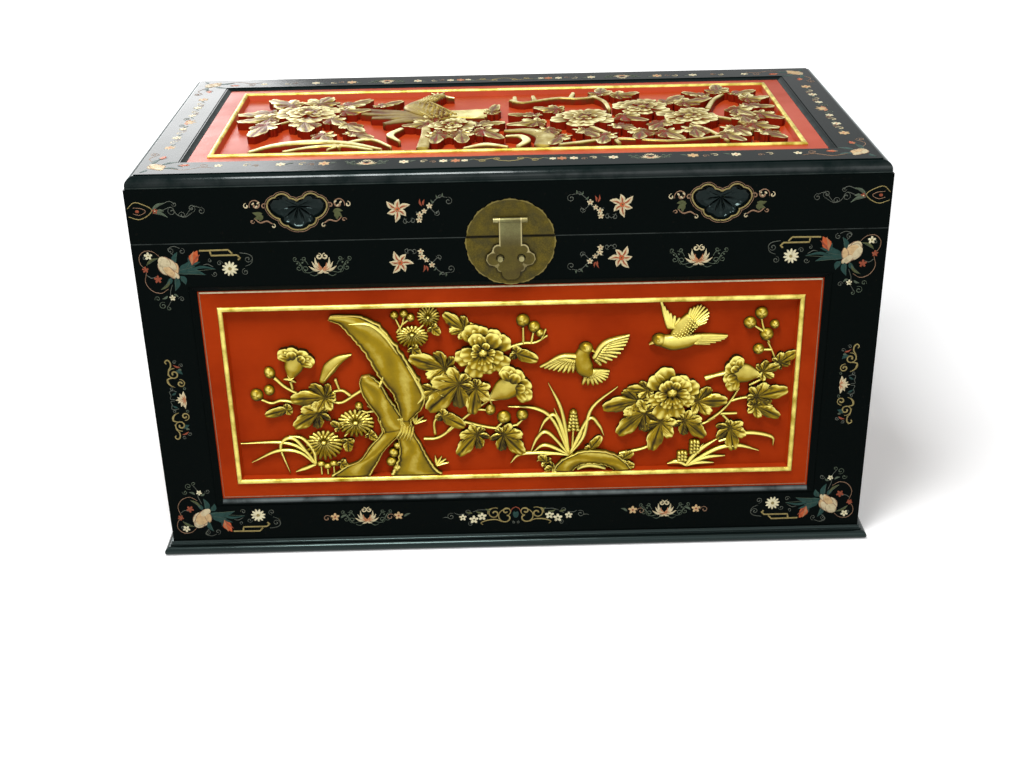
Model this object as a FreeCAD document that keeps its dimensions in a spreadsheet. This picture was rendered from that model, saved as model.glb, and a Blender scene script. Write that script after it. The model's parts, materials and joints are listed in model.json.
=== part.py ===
import FreeCAD
import Part
import Sketcher
import math
import os
from FreeCAD import Placement, Rotation, Vector

# Driving dimensions, millimetres and degrees
SIZES = {
    # carcase
    "chest_width": 1000,
    "chest_depth": 520,
    "body_height": 458,
    "wall": 22,
    "floor_thickness": 14,
    "floor_clearance": 0.5,
    # plinth
    "plinth_height": 20,
    "plinth_projection": 12,
    "plinth_band": 52,
    "plinth_ledge": 2,
    "plinth_lip": 2,
    "plinth_cove": 2.5,
    "plinth_fillet": 2.5,
    # framed panels
    "front_stile": 78,
    "top_rail": 71,
    "bottom_rail": 65,
    "bevel_width": 9.5,
    "bevel_depth": 4.8,
    "bevel_step": 1.2,
    "bevel_fillet": 2,
    "border": 24,
    "bead_width": 6.5,
    "ground_depth": 7,
    "ground_slope": 3,
    "tongue_length": 10,
    "tongue_thickness": 6,
    "tongue_cover": 4,
    "panel_clearance": 0.3,
    "panel_back": 1,
    # frame joints
    "tenon_length": 40,
    "tenon_thickness": 8,
    "tenon_shoulder": 14,
    "mortise_play": 0.5,
    "corner_tongue": 8,
    "corner_tongue_thickness": 7,
    # lid
    "lid_gap": 0.6,
    "skirt_height": 73.4,
    "lid_frame": 70,
    "lid_rise": 17,
    "lid_ledge": 2,
    "ovolo": 11,
    "ovolo_step": 1.5,
    "lid_bevel_width": 8.5,
    "lid_bevel_step": 1,
    "lid_panel_set": 4,
    "lid_tongue_cover": 7,
    "lid_rebate": 7,
    "lid_panel_thickness": 18,
    # finger recesses
    "grip_spacing": 554,
    "grip_width": 74,
    "grip_height": 46,
    "grip_depth": 12,
    "grip_above_rim": 40,
    # hinges
    "lid_opening": 100,
    "stop_clearance": 0.15,
    "hinge_spacing": 620,
    "hinge_length": 75,
    "hinge_inset": 6,
    "knuckle_radius": 4,
    "knuckle_clearance": 0.4,
    "leaf_reach": 14,
    "leaf_thickness": 2,
    "hinge_pin_radius": 2,
    "running_clearance": 0.05,
    "nail_width": 2.6,
    "nail_length": 15,
    # lock plate, hasp and posts
    "lock_radius": 61,
    "lock_drop": 8,
    "lock_notch": 2.6,
    "plate_thickness": 1.5,
    "plate_gap": 1.2,
    "hasp_rise": 24,
    "hasp_length": 83,
    "hasp_width": 67,
    "hasp_strap": 30,
    "hasp_thickness": 1.8,
    "hasp_hole": 5.5,
    "hasp_pin_radius": 1.5,
    "barrel_radius": 3.3,
    "barrel_clearance": 0.4,
    "eye_clearance": 0.3,
    "eye_width": 7,
    "eye_gap": 0.6,
    "post_drop": 52.5,
    "post_spacing": 28,
    "post_radius": 3.7,
    "post_bore": 1.5,
    "post_wall": 1.9,
    "shank_width": 3.2,
    "shank_clearance": 0.1,
    "clench_width": 7,
    "clench_thickness": 1.2,
    # carved relief
    "relief_low": 6,
    "relief_high": 4,
    "relief_margin": 4,
}

doc = FreeCAD.newDocument("lacquered_chest")
sheet = doc.addObject("Spreadsheet::Sheet", "dims")
for row, (alias, number) in enumerate(SIZES.items(), start=1):
    sheet.set(f"A{row}", alias)
    sheet.set(f"B{row}", str(number))
    sheet.setAlias(f"B{row}", alias)
doc.recompute()


class Dim:
    """A length that keeps its number and the sheet expression that drives it."""

    def __init__(self, number, text):
        self.number = number
        self.text = text

    def __float__(self):
        return float(self.number)

    def __add__(self, other):
        other = dim(other)
        return Dim(self.number + other.number, f"({self.text} + {other.text})")

    def __sub__(self, other):
        other = dim(other)
        return Dim(self.number - other.number, f"({self.text} - {other.text})")

    def __mul__(self, other):
        other = dim(other)
        return Dim(self.number * other.number, f"({self.text} * {other.text})")

    def __truediv__(self, other):
        other = dim(other)
        return Dim(self.number / other.number, f"({self.text} / {other.text})")

    def __radd__(self, other):
        return dim(other) + self

    def __rsub__(self, other):
        return dim(other) - self

    def __rmul__(self, other):
        return dim(other) * self

    def __neg__(self):
        return Dim(-self.number, f"(0 - {self.text})")


def dim(item):
    """Wrap a plain number so that it can join an expression."""
    if isinstance(item, Dim):
        return item
    return Dim(item, repr(item))


class Sizes:
    """Sheet aliases as attributes."""


S = Sizes()
for alias, number in SIZES.items():
    setattr(S, alias, Dim(number, f"dims.{alias}"))

# Levels and sizes that follow from the driving dimensions
half_width = S.chest_width / 2
half_depth = S.chest_depth / 2
rim_level = S.plinth_height + S.body_height
lid_level = rim_level + S.lid_gap
ledge_level = lid_level + S.skirt_height
lid_top = ledge_level + S.lid_rise
panel_set = S.bevel_step + S.bevel_depth
end_width = S.chest_depth - 2 * S.wall
end_stile = S.front_stile - S.wall
bead_height = S.bead_width / 2
hinge_level = rim_level + S.lid_gap / 2
hinge_line = half_depth - S.hinge_inset
plate_face = half_depth + S.plate_thickness
pivot_level = rim_level + S.hasp_rise
pivot_line = plate_face + S.barrel_radius + S.barrel_clearance
hasp_front = pivot_line + S.hasp_thickness / 2
post_level = pivot_level - S.post_drop
post_bore_line = hasp_front + 0.5 + S.post_bore
post_end = post_bore_line + S.post_bore + S.post_wall
eye_offset = S.hasp_strap / 2 + S.eye_gap + S.eye_width / 2
eye_radius = pivot_line - plate_face - S.eye_clearance

ACROSS_X = Rotation(Vector(0, 1, 0), 90)
ACROSS_Y = Rotation(Vector(1, 0, 0), 90)
UPRIGHT = Rotation(Vector(1, 0, 0), 90)
parts = []


def bind(item, prop, amount):
    """Drive one property from the sheet."""
    item.setExpression(prop, dim(amount).text)


def move(item, at, rotation=None):
    """Place an object by sheet expressions, with a fixed rotation."""
    if rotation is not None:
        item.Placement = Placement(Vector(0, 0, 0), rotation)
    for axis, amount in zip("xyz", at):
        bind(item, f"Placement.Base.{axis}", amount)
    return item


def box(name, size, at, rotation=None):
    item = doc.addObject("Part::Box", name)
    for prop, amount in zip(("Length", "Width", "Height"), size):
        bind(item, prop, amount)
    return move(item, at, rotation)


def span(name, low, high):
    """A box between two opposite corners."""
    size = [dim(b) - a for a, b in zip(low, high)]
    return box(name, size, low)


def rod(name, radius, length, at, rotation=None):
    item = doc.addObject("Part::Cylinder", name)
    bind(item, "Radius", radius)
    bind(item, "Height", length)
    return move(item, at, rotation)


def shank_hole(name, x, level, low, high):
    """A square hole for a hardware shank, drawn on a face."""
    half = S.shank_width / 2 + S.shank_clearance
    return span(name, (x - half, level - half, low), (x + half, level + half, high))


def taper(name, low, high, depth, at):
    """A rectangular frustum rising along z from low (x, y) to high (x, y), centred on its foot."""
    item = doc.addObject("Part::Wedge", name)
    for prop, amount in (
        ("Xmin", -low[0] / 2), ("Xmax", low[0] / 2), ("Zmin", -low[1] / 2), ("Zmax", low[1] / 2),
        ("X2min", -high[0] / 2), ("X2max", high[0] / 2), ("Z2min", -high[1] / 2), ("Z2max", high[1] / 2),
        ("Ymin", 0), ("Ymax", depth),
    ):
        bind(item, prop, amount)
    return move(item, at, ACROSS_Y)


def fuse(name, items):
    item = doc.addObject("Part::MultiFuse", name)
    item.Shapes = items
    item.Refine = True
    return item


def cut(name, base, tools):
    item = doc.addObject("Part::Cut", name)
    item.Base = base
    item.Tool = tools[0] if len(tools) == 1 else fuse(name + "_tools", tools)
    return item


def group(name, items):
    item = doc.addObject("Part::Compound", name)
    item.Links = items
    return item


def solid(name, shape):
    item = doc.addObject("Part::Feature", name)
    item.Shape = shape
    return item


def keep(item, label, frame=None):
    """Name a finished sub-part and set it in its face of the chest."""
    if frame is not None:
        move(item, frame[0], frame[1])
    item.Label = label
    parts.append(item)
    return item


# Faces of the chest: origin, and a turn that takes the drawing plane onto the face
FRONT = ((0, -half_depth, S.plinth_height), UPRIGHT)
LEFT = ((-half_width, 0, S.plinth_height), Rotation(Vector(0, 0, 1), -90).multiply(UPRIGHT))
RIGHT = ((half_width, 0, S.plinth_height), Rotation(Vector(0, 0, 1), 90).multiply(UPRIGHT))
LID = ((0, 0, lid_top), Rotation())


def on_face(place, up, out):
    """A point of a face, up from its lower edge and out of its plane, in the chest's frame."""
    origin, turn = place
    steps = [turn.multVec(Vector(*unit)) for unit in ((0, 1, 0), (0, 0, 1))]
    point = []
    for axis in range(3):
        rise, depth = (int(round(step[axis])) for step in steps)
        point.append(dim(origin[axis]) + rise * dim(up) + depth * dim(out))
    return point


# Sketched bodies
def origin_plane(body, role):
    return next(item for item in body.Origin.OriginFeatures if item.Role == role)


def arc_between(start, end, radius, clockwise):
    """The arc of a given radius from start to end, as a sketch edge."""
    a, b = Vector(*start, 0), Vector(*end, 0)
    chord = b - a
    rise = math.sqrt(max(radius ** 2 - (chord.Length / 2) ** 2, 0))
    side = Vector(chord.y, -chord.x, 0).normalize()
    centre = (a + b) * 0.5 + side * (rise if clockwise else -rise)
    out = (a + b) * 0.5 - centre
    if out.Length < radius * 1e-3:
        out = side * (-1 if clockwise else 1)
    middle = centre + out.normalize() * radius
    return Part.Arc(a, middle, b)


def outline(body, name, role, corners, arcs=()):
    """A closed sketch through corners held by the sheet; arcs maps an edge to (radius, clockwise)."""
    sketch = body.newObject("Sketcher::SketchObject", name)
    sketch.AttachmentSupport = [(origin_plane(body, role), "")]
    sketch.MapMode = "FlatFace"
    arcs = dict(arcs)
    places = [(float(dim(x)), float(dim(y))) for x, y in corners]
    ends = []
    for edge, start in enumerate(places):
        end = places[(edge + 1) % len(places)]
        if edge in arcs:
            radius, clockwise = arcs[edge]
            curve = arc_between(start, end, float(dim(radius)), clockwise)
            sketch.addGeometry(curve, False)
            first = sketch.getPoint(edge, 1)
            forward = (first - Vector(*start, 0)).Length < 1e-4
            ends.append((1, 2) if forward else (2, 1))
        else:
            sketch.addGeometry(Part.LineSegment(Vector(*start, 0), Vector(*end, 0)), False)
            ends.append((1, 2))
    count = len(places)
    for edge in range(count):
        following = (edge + 1) % count
        sketch.addConstraint(
            Sketcher.Constraint("Coincident", edge, ends[edge][1], following, ends[following][0]))
    for edge, corner in enumerate(corners):
        for kind, amount in zip(("DistanceX", "DistanceY"), corner):
            number = sketch.addConstraint(
                Sketcher.Constraint(kind, -1, 1, edge, ends[edge][0], float(dim(amount))))
            sketch.setExpression(f"Constraints[{number}]", dim(amount).text)
        if edge in arcs:
            radius = dim(arcs[edge][0])
            number = sketch.addConstraint(Sketcher.Constraint("Radius", edge, float(radius)))
            sketch.setExpression(f"Constraints[{number}]", radius.text)
    return sketch


def mitred_length(name, length, width, corners, arcs=()):
    """A moulding padded along x, its outer edge on y = 0, with both ends mitred."""
    body = doc.addObject("PartDesign::Body", name)
    profile = outline(body, name + "_profile", "YZ_Plane", corners, arcs)
    pad = body.newObject("PartDesign::Pad", name + "_pad")
    pad.Profile = profile
    pad.SideType = "Symmetric"
    bind(pad, "Length", length)
    doc.recompute()
    reach = width + 1
    for hand, sign in (("right", 1), ("left", -1)):
        tip = sign * length / 2
        mitre = outline(body, f"{name}_{hand}_mitre", "XY_Plane",
                        [(tip, 0), (tip, reach), (tip - sign * reach, reach)])
        pocket = body.newObject("PartDesign::Pocket", f"{name}_{hand}_end")
        pocket.Profile = mitre
        pocket.Type = "ThroughAll"
        pocket.SideType = "Symmetric"
        doc.recompute()
    return body


def mitred_ring(names, across, along, width, level, corners, arcs=()):
    """Four mitred lengths round a rectangle of across by along, outer edges on its sides."""
    places = (
        (across, (0, -along / 2, level), 0),
        (across, (0, along / 2, level), 180),
        (along, (-across / 2, 0, level), -90),
        (along, (across / 2, 0, level), 90),
    )
    ring = []
    for name, (length, at, turn) in zip(names, places):
        body = mitred_length(name, length, width, corners, arcs)
        ring.append(move(body, at, Rotation(Vector(0, 0, 1), turn)))
    return ring


# Framed faces: stiles, rails, panel, bead and carving, drawn flat with z out of the face
class Face:
    """A tenoned frame and its sunk panel, drawn with the bottom edge on y = 0."""

    def __init__(self, name, place, width, stile):
        self.name = name
        self.place = place
        self.width = width
        self.stile = stile
        self.sight_width = width - 2 * stile
        self.sight_height = S.body_height - S.top_rail - S.bottom_rail
        self.centre = S.bottom_rail + self.sight_height / 2
        self.panel_back = -S.wall + S.panel_back

    def opening(self):
        """The moulded sight edge: a shallow step, then a bevel down to the panel."""
        name = self.name + "_sight"
        wide = self.sight_width + 2 * S.bevel_width
        tall = self.sight_height + 2 * S.bevel_width
        step = box(name + "_step", (wide, tall, S.bevel_step + 1),
                   (-wide / 2, self.centre - tall / 2, -S.bevel_step))
        slope = taper(name + "_bevel", (self.sight_width, self.sight_height),
                      (wide - 2 * S.bevel_fillet, tall - 2 * S.bevel_fillet), S.bevel_depth,
                      (0, self.centre, -panel_set))
        return fuse(name, [step, slope])

    def groove(self):
        wide = self.sight_width + 2 * S.tongue_length
        tall = self.sight_height + 2 * S.tongue_length
        return box(self.name + "_groove", (wide, tall, S.tongue_thickness),
                   (-wide / 2, self.centre - tall / 2, -panel_set - S.tongue_cover - S.tongue_thickness))

    def tenon(self, name, low, height, reach):
        wide = self.sight_width + 2 * reach
        return box(f"{self.name}_{name}", (wide, height - 2 * S.tenon_shoulder, S.tenon_thickness),
                   (-wide / 2, low + S.tenon_shoulder, -(S.wall + S.tenon_thickness) / 2))

    def stile_tongue(self, sign):
        """The tongue on the outer edge of an end stile that enters the corner groove."""
        low = self.width / 2 if sign > 0 else -self.width / 2 - S.corner_tongue
        return box(f"{self.name}_tongue", (S.corner_tongue, S.body_height, S.corner_tongue_thickness),
                   (low, 0, -(S.wall + S.corner_tongue_thickness) / 2))

    def corner_groove(self, sign):
        """The groove in the back of a front stile that takes the end frame's tongue."""
        middle = sign * (self.width - S.wall) / 2
        return box(f"{self.name}_corner_groove", (S.corner_tongue_thickness, S.body_height, S.corner_tongue),
                   (middle - S.corner_tongue_thickness / 2, 0, -S.wall))

    def build_frame(self, labels, tongued):
        top_low = S.body_height - S.top_rail
        rails = (("bottom_rail", dim(0), S.bottom_rail), ("top_rail", top_low, S.top_rail))
        opening = self.opening()
        groove = self.groove()
        mortises = []
        built = {}
        for label, (rail, low, height) in zip(labels[:2], rails):
            board = box(f"{self.name}_{rail}_board", (self.sight_width, height, S.wall),
                        (-self.sight_width / 2, low, -S.wall))
            tenon = self.tenon(rail + "_tenon", low, height, S.tenon_length)
            blank = fuse(f"{self.name}_{rail}_blank", [board, tenon])
            built[label] = cut(f"{self.name}_{rail}_joined", blank, [opening, groove])
            mortises.append(self.tenon(rail + "_mortise", low, height, S.tenon_length + S.mortise_play))
        for label, sign in zip(labels[2:], (-1, 1)):
            low = -self.width / 2 if sign < 0 else self.width / 2 - self.stile
            board = box(f"{self.name}_stile_board", (self.stile, S.body_height, S.wall), (low, 0, -S.wall))
            tools = [opening, groove] + mortises
            if tongued:
                board = fuse(f"{self.name}_stile_blank", [board, self.stile_tongue(sign)])
            else:
                tools.append(self.corner_groove(sign))
            built[label] = cut(f"{self.name}_stile", board, tools)
        return built

    def build_panel(self):
        fill_panel(self.name, self.place, (self.sight_width, self.sight_height), self.centre,
                   -panel_set, self.panel_back, S.tongue_cover)


def ground_size(sight):
    """The floor of the sunk field inside the bead."""
    return [side - 2 * (S.border + S.bead_width + S.ground_slope) for side in sight]


def fill_panel(name, place, sight, centre, face, back, cover):
    """A tongued panel with a sunk field, and the mitred half-round bead glued up round the field."""
    wide, tall = (side - 2 * S.panel_clearance for side in sight)
    board = box(name + "_panel_board", (wide, tall, face - back), (-wide / 2, centre - tall / 2, back))
    tongue_wide, tongue_tall = (side + 2 * (S.tongue_length - S.panel_clearance) for side in sight)
    tongue = box(name + "_panel_tongue", (tongue_wide, tongue_tall, S.tongue_thickness),
                 (-tongue_wide / 2, centre - tongue_tall / 2, face - cover - S.tongue_thickness))
    low = ground_size(sight)
    high = [side + 2 * S.ground_slope for side in low]
    sunk = taper(name + "_panel_field", low, high, S.ground_depth, (0, centre, face - S.ground_depth))
    blank = fuse(name + "_panel_blank", [board, tongue])
    keep(cut(name + "_panel", blank, [sunk]), name + "_panel", place)
    outer = [side - 2 * S.border for side in sight]
    names = [f"{name}_bead_{side}" for side in ("low", "high", "left", "right")]
    strips = mitred_ring(names, outer[0], outer[1], S.bead_width, face,
                         [(0, 0), (S.bead_width, 0), (bead_height, bead_height)],
                         {1: (bead_height, False), 2: (bead_height, False)})
    for strip in strips[:2]:
        shift = -outer[1] / 2 if strip is strips[0] else outer[1] / 2
        bind(strip, "Placement.Base.y", centre + shift)
    for strip in strips[2:]:
        bind(strip, "Placement.Base.y", centre)
    keep(fuse(name + "_bead", strips), name + "_bead", place)


def build_faces():
    """Front and end frames with their panels."""
    front = Face("front", FRONT, S.chest_width, S.front_stile)
    built = front.build_frame(
        ("front_bottom_rail", "front_top_rail", "front_left_stile", "front_right_stile"), False)
    holes = [
        shank_hole("post_hole", sign * S.post_spacing / 2, post_level - S.plinth_height, -S.wall, dim(0))
        for sign in (-1, 1)
    ]
    built["front_top_rail"] = cut("front_top_rail_drilled", built["front_top_rail"], holes)
    for label, item in built.items():
        keep(item, label, FRONT)
    front.build_panel()
    for name, place, low_hand, high_hand in (
        ("left_end", LEFT, "rear", "front"), ("right_end", RIGHT, "front", "rear"),
    ):
        end = Face(name, place, end_width, end_stile)
        labels = [f"{name}_{member}" for member in
                  ("bottom_rail", "top_rail", low_hand + "_stile", high_hand + "_stile")]
        for label, item in end.build_frame(labels, True).items():
            keep(item, label, place)
        end.build_panel()


# Back, floor and plinth
def hinge_sides():
    return [sign * S.hinge_spacing / 2 for sign in (-1, 1)]


def build_back():
    half = S.body_height / 2
    back_face = half_depth - S.wall
    tongue = S.corner_tongue
    groove = S.corner_tongue_thickness
    middle = half_depth - S.wall / 2
    seam = S.plinth_height + half
    lower = span("back_lower", (-half_width, back_face, S.plinth_height), (half_width, half_depth, seam))
    seam_tongue = span("back_tongue", (-half_width, middle - groove / 2, seam),
                       (half_width, middle + groove / 2, seam + tongue))
    upper = span("back_upper", (-half_width, back_face, seam), (half_width, half_depth, rim_level))
    corner = [
        span("back_corner_groove",
             (sign * (half_width - S.wall / 2) - groove / 2, back_face, S.plinth_height),
             (sign * (half_width - S.wall / 2) + groove / 2, back_face + tongue, rim_level))
        for sign in (-1, 1)
    ]
    keep(cut("back_lower_board", fuse("back_lower_blank", [lower, seam_tongue]), corner), "back_lower_board")
    tools = corner + [seam_tongue, rear_bevel("body_bevel", -1)] + hinge_cutters("body", -1)
    keep(cut("back_upper_board", upper, tools), "back_upper_board")


def rear_bevel(name, sign):
    """Cutter for the rear edge bevel of the body (sign -1) or the lid (sign 1), through the hinge line."""
    reach = 4 * S.hinge_inset
    length = S.chest_width + 2
    blank = doc.addObject("Part::Box", name + "_blank")
    bind(blank, "Length", length)
    bind(blank, "Width", reach)
    bind(blank, "Height", reach)
    move(blank, (-length / 2, 0, 0 if sign < 0 else -reach))
    cutter = group(name, [blank])
    cutter.Placement = Placement(Vector(0, 0, 0), Rotation(Vector(sign, 0, 0), 50))
    bind(cutter, "Placement.Rotation.Angle", S.lid_opening / 2)
    bind(cutter, "Placement.Base.y", hinge_line)
    bind(cutter, "Placement.Base.z", hinge_level + sign * S.stop_clearance)
    return cutter


def build_floor():
    play = S.floor_clearance
    groove = S.tongue_thickness
    low = S.plinth_height
    high = low + S.floor_thickness
    side = half_width - S.wall - play
    end = half_depth - S.wall - play
    middle = (low + high) / 2
    tongue = span("floor_tongue", (-side, 0, middle - groove / 2),
                  (side, S.corner_tongue, middle + groove / 2))
    front = span("floor_front", (-side, -end, low), (side, 0, high))
    rear = span("floor_rear", (-side, 0, low), (side, end, high))
    keep(fuse("bottom_front_board", [front, tongue]), "bottom_front_board")
    keep(cut("bottom_rear_board", rear, [tongue]), "bottom_rear_board")


def build_plinth():
    """Mitred base moulding: half-round nose, fillet, cove and a narrow lip under the body."""
    nose = (S.plinth_height - S.plinth_lip - S.plinth_cove - S.plinth_fillet) / 2
    shelf = 2 * nose
    lip = S.plinth_projection - S.plinth_ledge
    neck = lip - S.plinth_cove
    corners = [
        (nose, 0), (S.plinth_band, 0), (S.plinth_band, S.plinth_height), (lip, S.plinth_height),
        (lip, S.plinth_height - S.plinth_lip), (neck, shelf + S.plinth_fillet), (neck, shelf), (nose, shelf),
        (0, nose),
    ]
    arcs = {4: (S.plinth_cove, True), 7: (nose, False), 8: (nose, False)}
    names = [f"plinth_{side}" for side in ("front", "back", "left", "right")]
    across = S.chest_width + 2 * S.plinth_projection
    along = S.chest_depth + 2 * S.plinth_projection
    for name, item in zip(names, mitred_ring(names, across, along, S.plinth_band, 0, corners, arcs)):
        keep(item, name)


# Lid
GRIP_HALF_OUTLINE = (
    # cusps of the lobed rim as shares of half width and height, with each lobe's bulge
    ((0.00, 0.56), 0.10), ((0.27, 0.74), 0.32), ((0.73, 0.80), 0.30), ((0.97, 0.12), 0.12),
    ((0.60, -0.36), 0.25), ((0.36, -0.76), 0.14), ((0.00, -1.00), 0.00),
)
GRIP_STEPS = 3
GRIP_HUB = 0.1
# share of the rim and share of the depth, from the rim to the floor of the bowl
GRIP_BOWL = ((1.0, 0.0), (0.94, 0.42), (0.74, 0.80), (0.42, 1.0))


def bulged(start, end, bulge, steps):
    """Points on an arc that bows to the left of its way by a share of its chord, without its end."""
    chord = end - start
    middle = (start + end) * 0.5 + Vector(chord.y, -chord.x, 0) * -bulge
    return Part.Arc(start, middle, end).toShape().discretize(Number=steps + 1)[:-1]


def lobed_half(corners, width, height, steps):
    """Points down the right half of a lobed outline, from corners given as shares and bulges."""
    half = [Vector(x * width, y * height, 0) for (x, y), _ in corners]
    points = []
    for start, end, (_, bulge) in zip(half, half[1:], corners):
        points += bulged(start, end, bulge, steps)
    return points + half[-1:]


def closed_face(points):
    """A flat face inside a ring of points."""
    return Part.Face(Part.makePolygon(points + points[:1]))


def grip_cutter():
    """A scooped finger recess: lobed rim and a bowl that narrows in steps towards its hub."""
    width, height, depth = float(S.grip_width), float(S.grip_height), float(S.grip_depth)
    right = lobed_half(GRIP_HALF_OUTLINE, width / 2, height / 2, GRIP_STEPS)
    rim = right + [Vector(-p.x, p.y, 0) for p in right[-2:0:-1]]
    hub = Vector(0, GRIP_HUB * height, 0)
    rings = [
        [hub + (p - hub) * share + Vector(0, 0, -depth * drop) for p in rim] for share, drop in GRIP_BOWL
    ]
    faces = [closed_face(rings[0]), closed_face(rings[-1])]
    for upper, lower in zip(rings, rings[1:]):
        for number in range(-1, len(rim) - 1):
            faces.append(closed_face([upper[number], upper[number + 1], lower[number + 1], lower[number]]))
    return Part.Solid(Part.Shell(faces))


def build_lid_boards():
    low, high = lid_level, ledge_level
    tongue, groove = S.corner_tongue, S.corner_tongue_thickness
    inner = half_depth - S.wall
    middle = half_width - S.wall / 2
    slots = {
        face: [
            span("lid_corner_groove", (sign * middle - groove / 2, y, low),
                 (sign * middle + groove / 2, y + tongue, high))
            for sign in (-1, 1)
        ]
        for face, y in (("front", -inner - tongue), ("back", inner))
    }
    front = span("lid_front_board", (-half_width, -half_depth, low), (half_width, -inner, high))
    grips = []
    for sign in (-1, 1):
        cutter = solid("grip_cutter", grip_cutter())
        place = (sign * S.grip_spacing / 2, -half_depth, rim_level + S.grip_above_rim)
        grips.append(move(cutter, place, UPRIGHT))
    reach = (S.shank_width + 2 * S.shank_clearance) / 2
    holes = [
        span("eye_hole", (sign * eye_offset - reach, -half_depth, pivot_level - reach),
             (sign * eye_offset + reach, -inner, pivot_level + reach))
        for sign in (-1, 1)
    ]
    keep(cut("lid_front", front, slots["front"] + grips + holes), "lid_front")
    back = span("lid_back_board", (-half_width, inner, low), (half_width, half_depth, high))
    tools = slots["back"] + [rear_bevel("lid_bevel", 1)] + hinge_cutters("lid", 1)
    keep(cut("lid_back", back, tools), "lid_back")
    for label, sign in (("lid_left_end", -1), ("lid_right_end", 1)):
        edge = sign * half_width
        board = box(label + "_board", (S.wall, 2 * inner, high - low),
                    (edge - S.wall if sign > 0 else edge, -inner, low))
        tongues = box(label + "_tongue", (groove, 2 * (inner + tongue), high - low),
                      (sign * middle - groove / 2, -inner - tongue, low))
        keep(fuse(label, [board, tongues]), label)


def build_lid_top():
    """Mitred top frame with an ovolo edge, a bevelled sight edge and a groove for the panel."""
    rise = S.lid_rise
    shoulder = rise - S.ovolo_step
    brow = S.lid_ledge + S.ovolo
    sight = S.lid_frame
    face = rise - S.lid_panel_set
    groove_top = face - S.lid_tongue_cover
    groove_low = groove_top - S.tongue_thickness
    corners = [
        (S.lid_ledge, 0), (S.wall, 0), (S.wall, -S.lid_rebate), (sight, -S.lid_rebate),
        (sight, groove_low), (sight - S.tongue_length, groove_low), (sight - S.tongue_length, groove_top),
        (sight, groove_top), (sight, face),
        (sight - S.lid_bevel_width + S.bevel_fillet, rise - S.lid_bevel_step),
        (sight - S.lid_bevel_width, rise - S.lid_bevel_step), (sight - S.lid_bevel_width, rise),
        (brow, rise), (brow, shoulder), (S.lid_ledge, shoulder - S.ovolo),
    ]
    arcs = {13: (S.ovolo, False)}
    names = [f"lid_{side}_moulding" for side in ("front", "back", "left", "right")]
    ring = mitred_ring(names, S.chest_width, S.chest_depth, S.lid_frame, ledge_level, corners, arcs)
    for name, item in zip(names, ring):
        keep(item, name)
    sight_size = (S.chest_width - 2 * S.lid_frame, S.chest_depth - 2 * S.lid_frame)
    fill_panel("lid", LID, sight_size, dim(0), -S.lid_panel_set,
               -S.lid_panel_set - S.lid_panel_thickness, S.lid_tongue_cover)


# Hinges
KNUCKLES = 3


def hinge_cutters(owner, side):
    """Mortises for the leaves, barrel recesses and pilot holes, for body (side -1) or lid (side 1)."""
    tools = []
    length = S.hinge_length + 2 * S.knuckle_clearance
    rim = rim_level if side < 0 else lid_level
    for x in hinge_sides():
        tools.append(rod(f"{owner}_barrel_recess", S.knuckle_radius + S.knuckle_clearance, length,
                         (x - length / 2, hinge_line, hinge_level), ACROSS_X))
        low = rim - S.leaf_thickness if side < 0 else rim
        tools.append(box(f"{owner}_leaf_mortise", (length, S.leaf_reach, S.leaf_thickness),
                         (x - length / 2, hinge_line - S.leaf_reach, low)))
        tools.extend(nails(owner + "_pilot", x, rim, side))
    return tools


def nails(owner, x, rim, side):
    """Square cut nails, their heads flush with the leaf."""
    half = S.nail_width / 2
    row = hinge_line - (S.leaf_reach + S.knuckle_radius) / 2
    low = rim - S.nail_length if side < 0 else rim
    return [
        span(owner + "_nail", (place - half, row - half, low),
             (place + half, row + half, low + S.nail_length))
        for place in (x + step * S.hinge_length / 3 for step in (-1, 0, 1))
    ]


def build_hinges():
    pitch = S.hinge_length / KNUCKLES
    for owner, side, picks in (("body", -1, (0, 2)), ("lid", 1, (1,))):
        leaves = []
        fixings = []
        rim = rim_level if side < 0 else lid_level
        low = rim - S.leaf_thickness if side < 0 else rim
        for x in hinge_sides():
            start = x - S.hinge_length / 2
            clear = S.knuckle_radius + S.knuckle_clearance
            pieces = [box(f"{owner}_leaf_plate", (S.hinge_length, S.leaf_reach - clear, S.leaf_thickness),
                          (start, hinge_line - S.leaf_reach, low))]
            for pick in picks:
                near = start + pick * pitch + S.knuckle_clearance / 2
                wide = pitch - S.knuckle_clearance
                pieces.append(box(f"{owner}_leaf_neck", (wide, clear, S.leaf_thickness),
                                  (near, hinge_line - clear, low)))
                pieces.append(rod(f"{owner}_knuckle", S.knuckle_radius, wide,
                                  (near, hinge_line, hinge_level), ACROSS_X))
            bore = rod(f"{owner}_knuckle_bore", S.hinge_pin_radius + S.running_clearance,
                       S.hinge_length, (start, hinge_line, hinge_level), ACROSS_X)
            own = nails(owner, x, rim, side)
            leaves.append(cut(f"{owner}_leaf", fuse(f"{owner}_leaf_blank", pieces), [bore] + own))
            fixings.extend(own)
        keep(group(f"{owner}_hinge_leaves", leaves), f"{owner}_hinge_leaves")
        keep(group(f"{owner}_hinge_nails", fixings), f"{owner}_hinge_nails")
    pins = [
        rod("hinge_pin", S.hinge_pin_radius, S.hinge_length,
            (x - S.hinge_length / 2, hinge_line, hinge_level), ACROSS_X)
        for x in hinge_sides()
    ]
    keep(group("hinge_pins", pins), "hinge_pins")


# Lock plate, hasp, eyes and posts
LOCK_LOBES = 16


# bracket lobe of the plate's edge: share of the lobe's turn and share of the notch, from tip to tip
LOCK_LOBE = ((0.0, 0.0), (0.1, 0.5), (0.3, 0.52), (0.5, 1.0), (0.7, 0.52), (0.9, 0.5))


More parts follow.
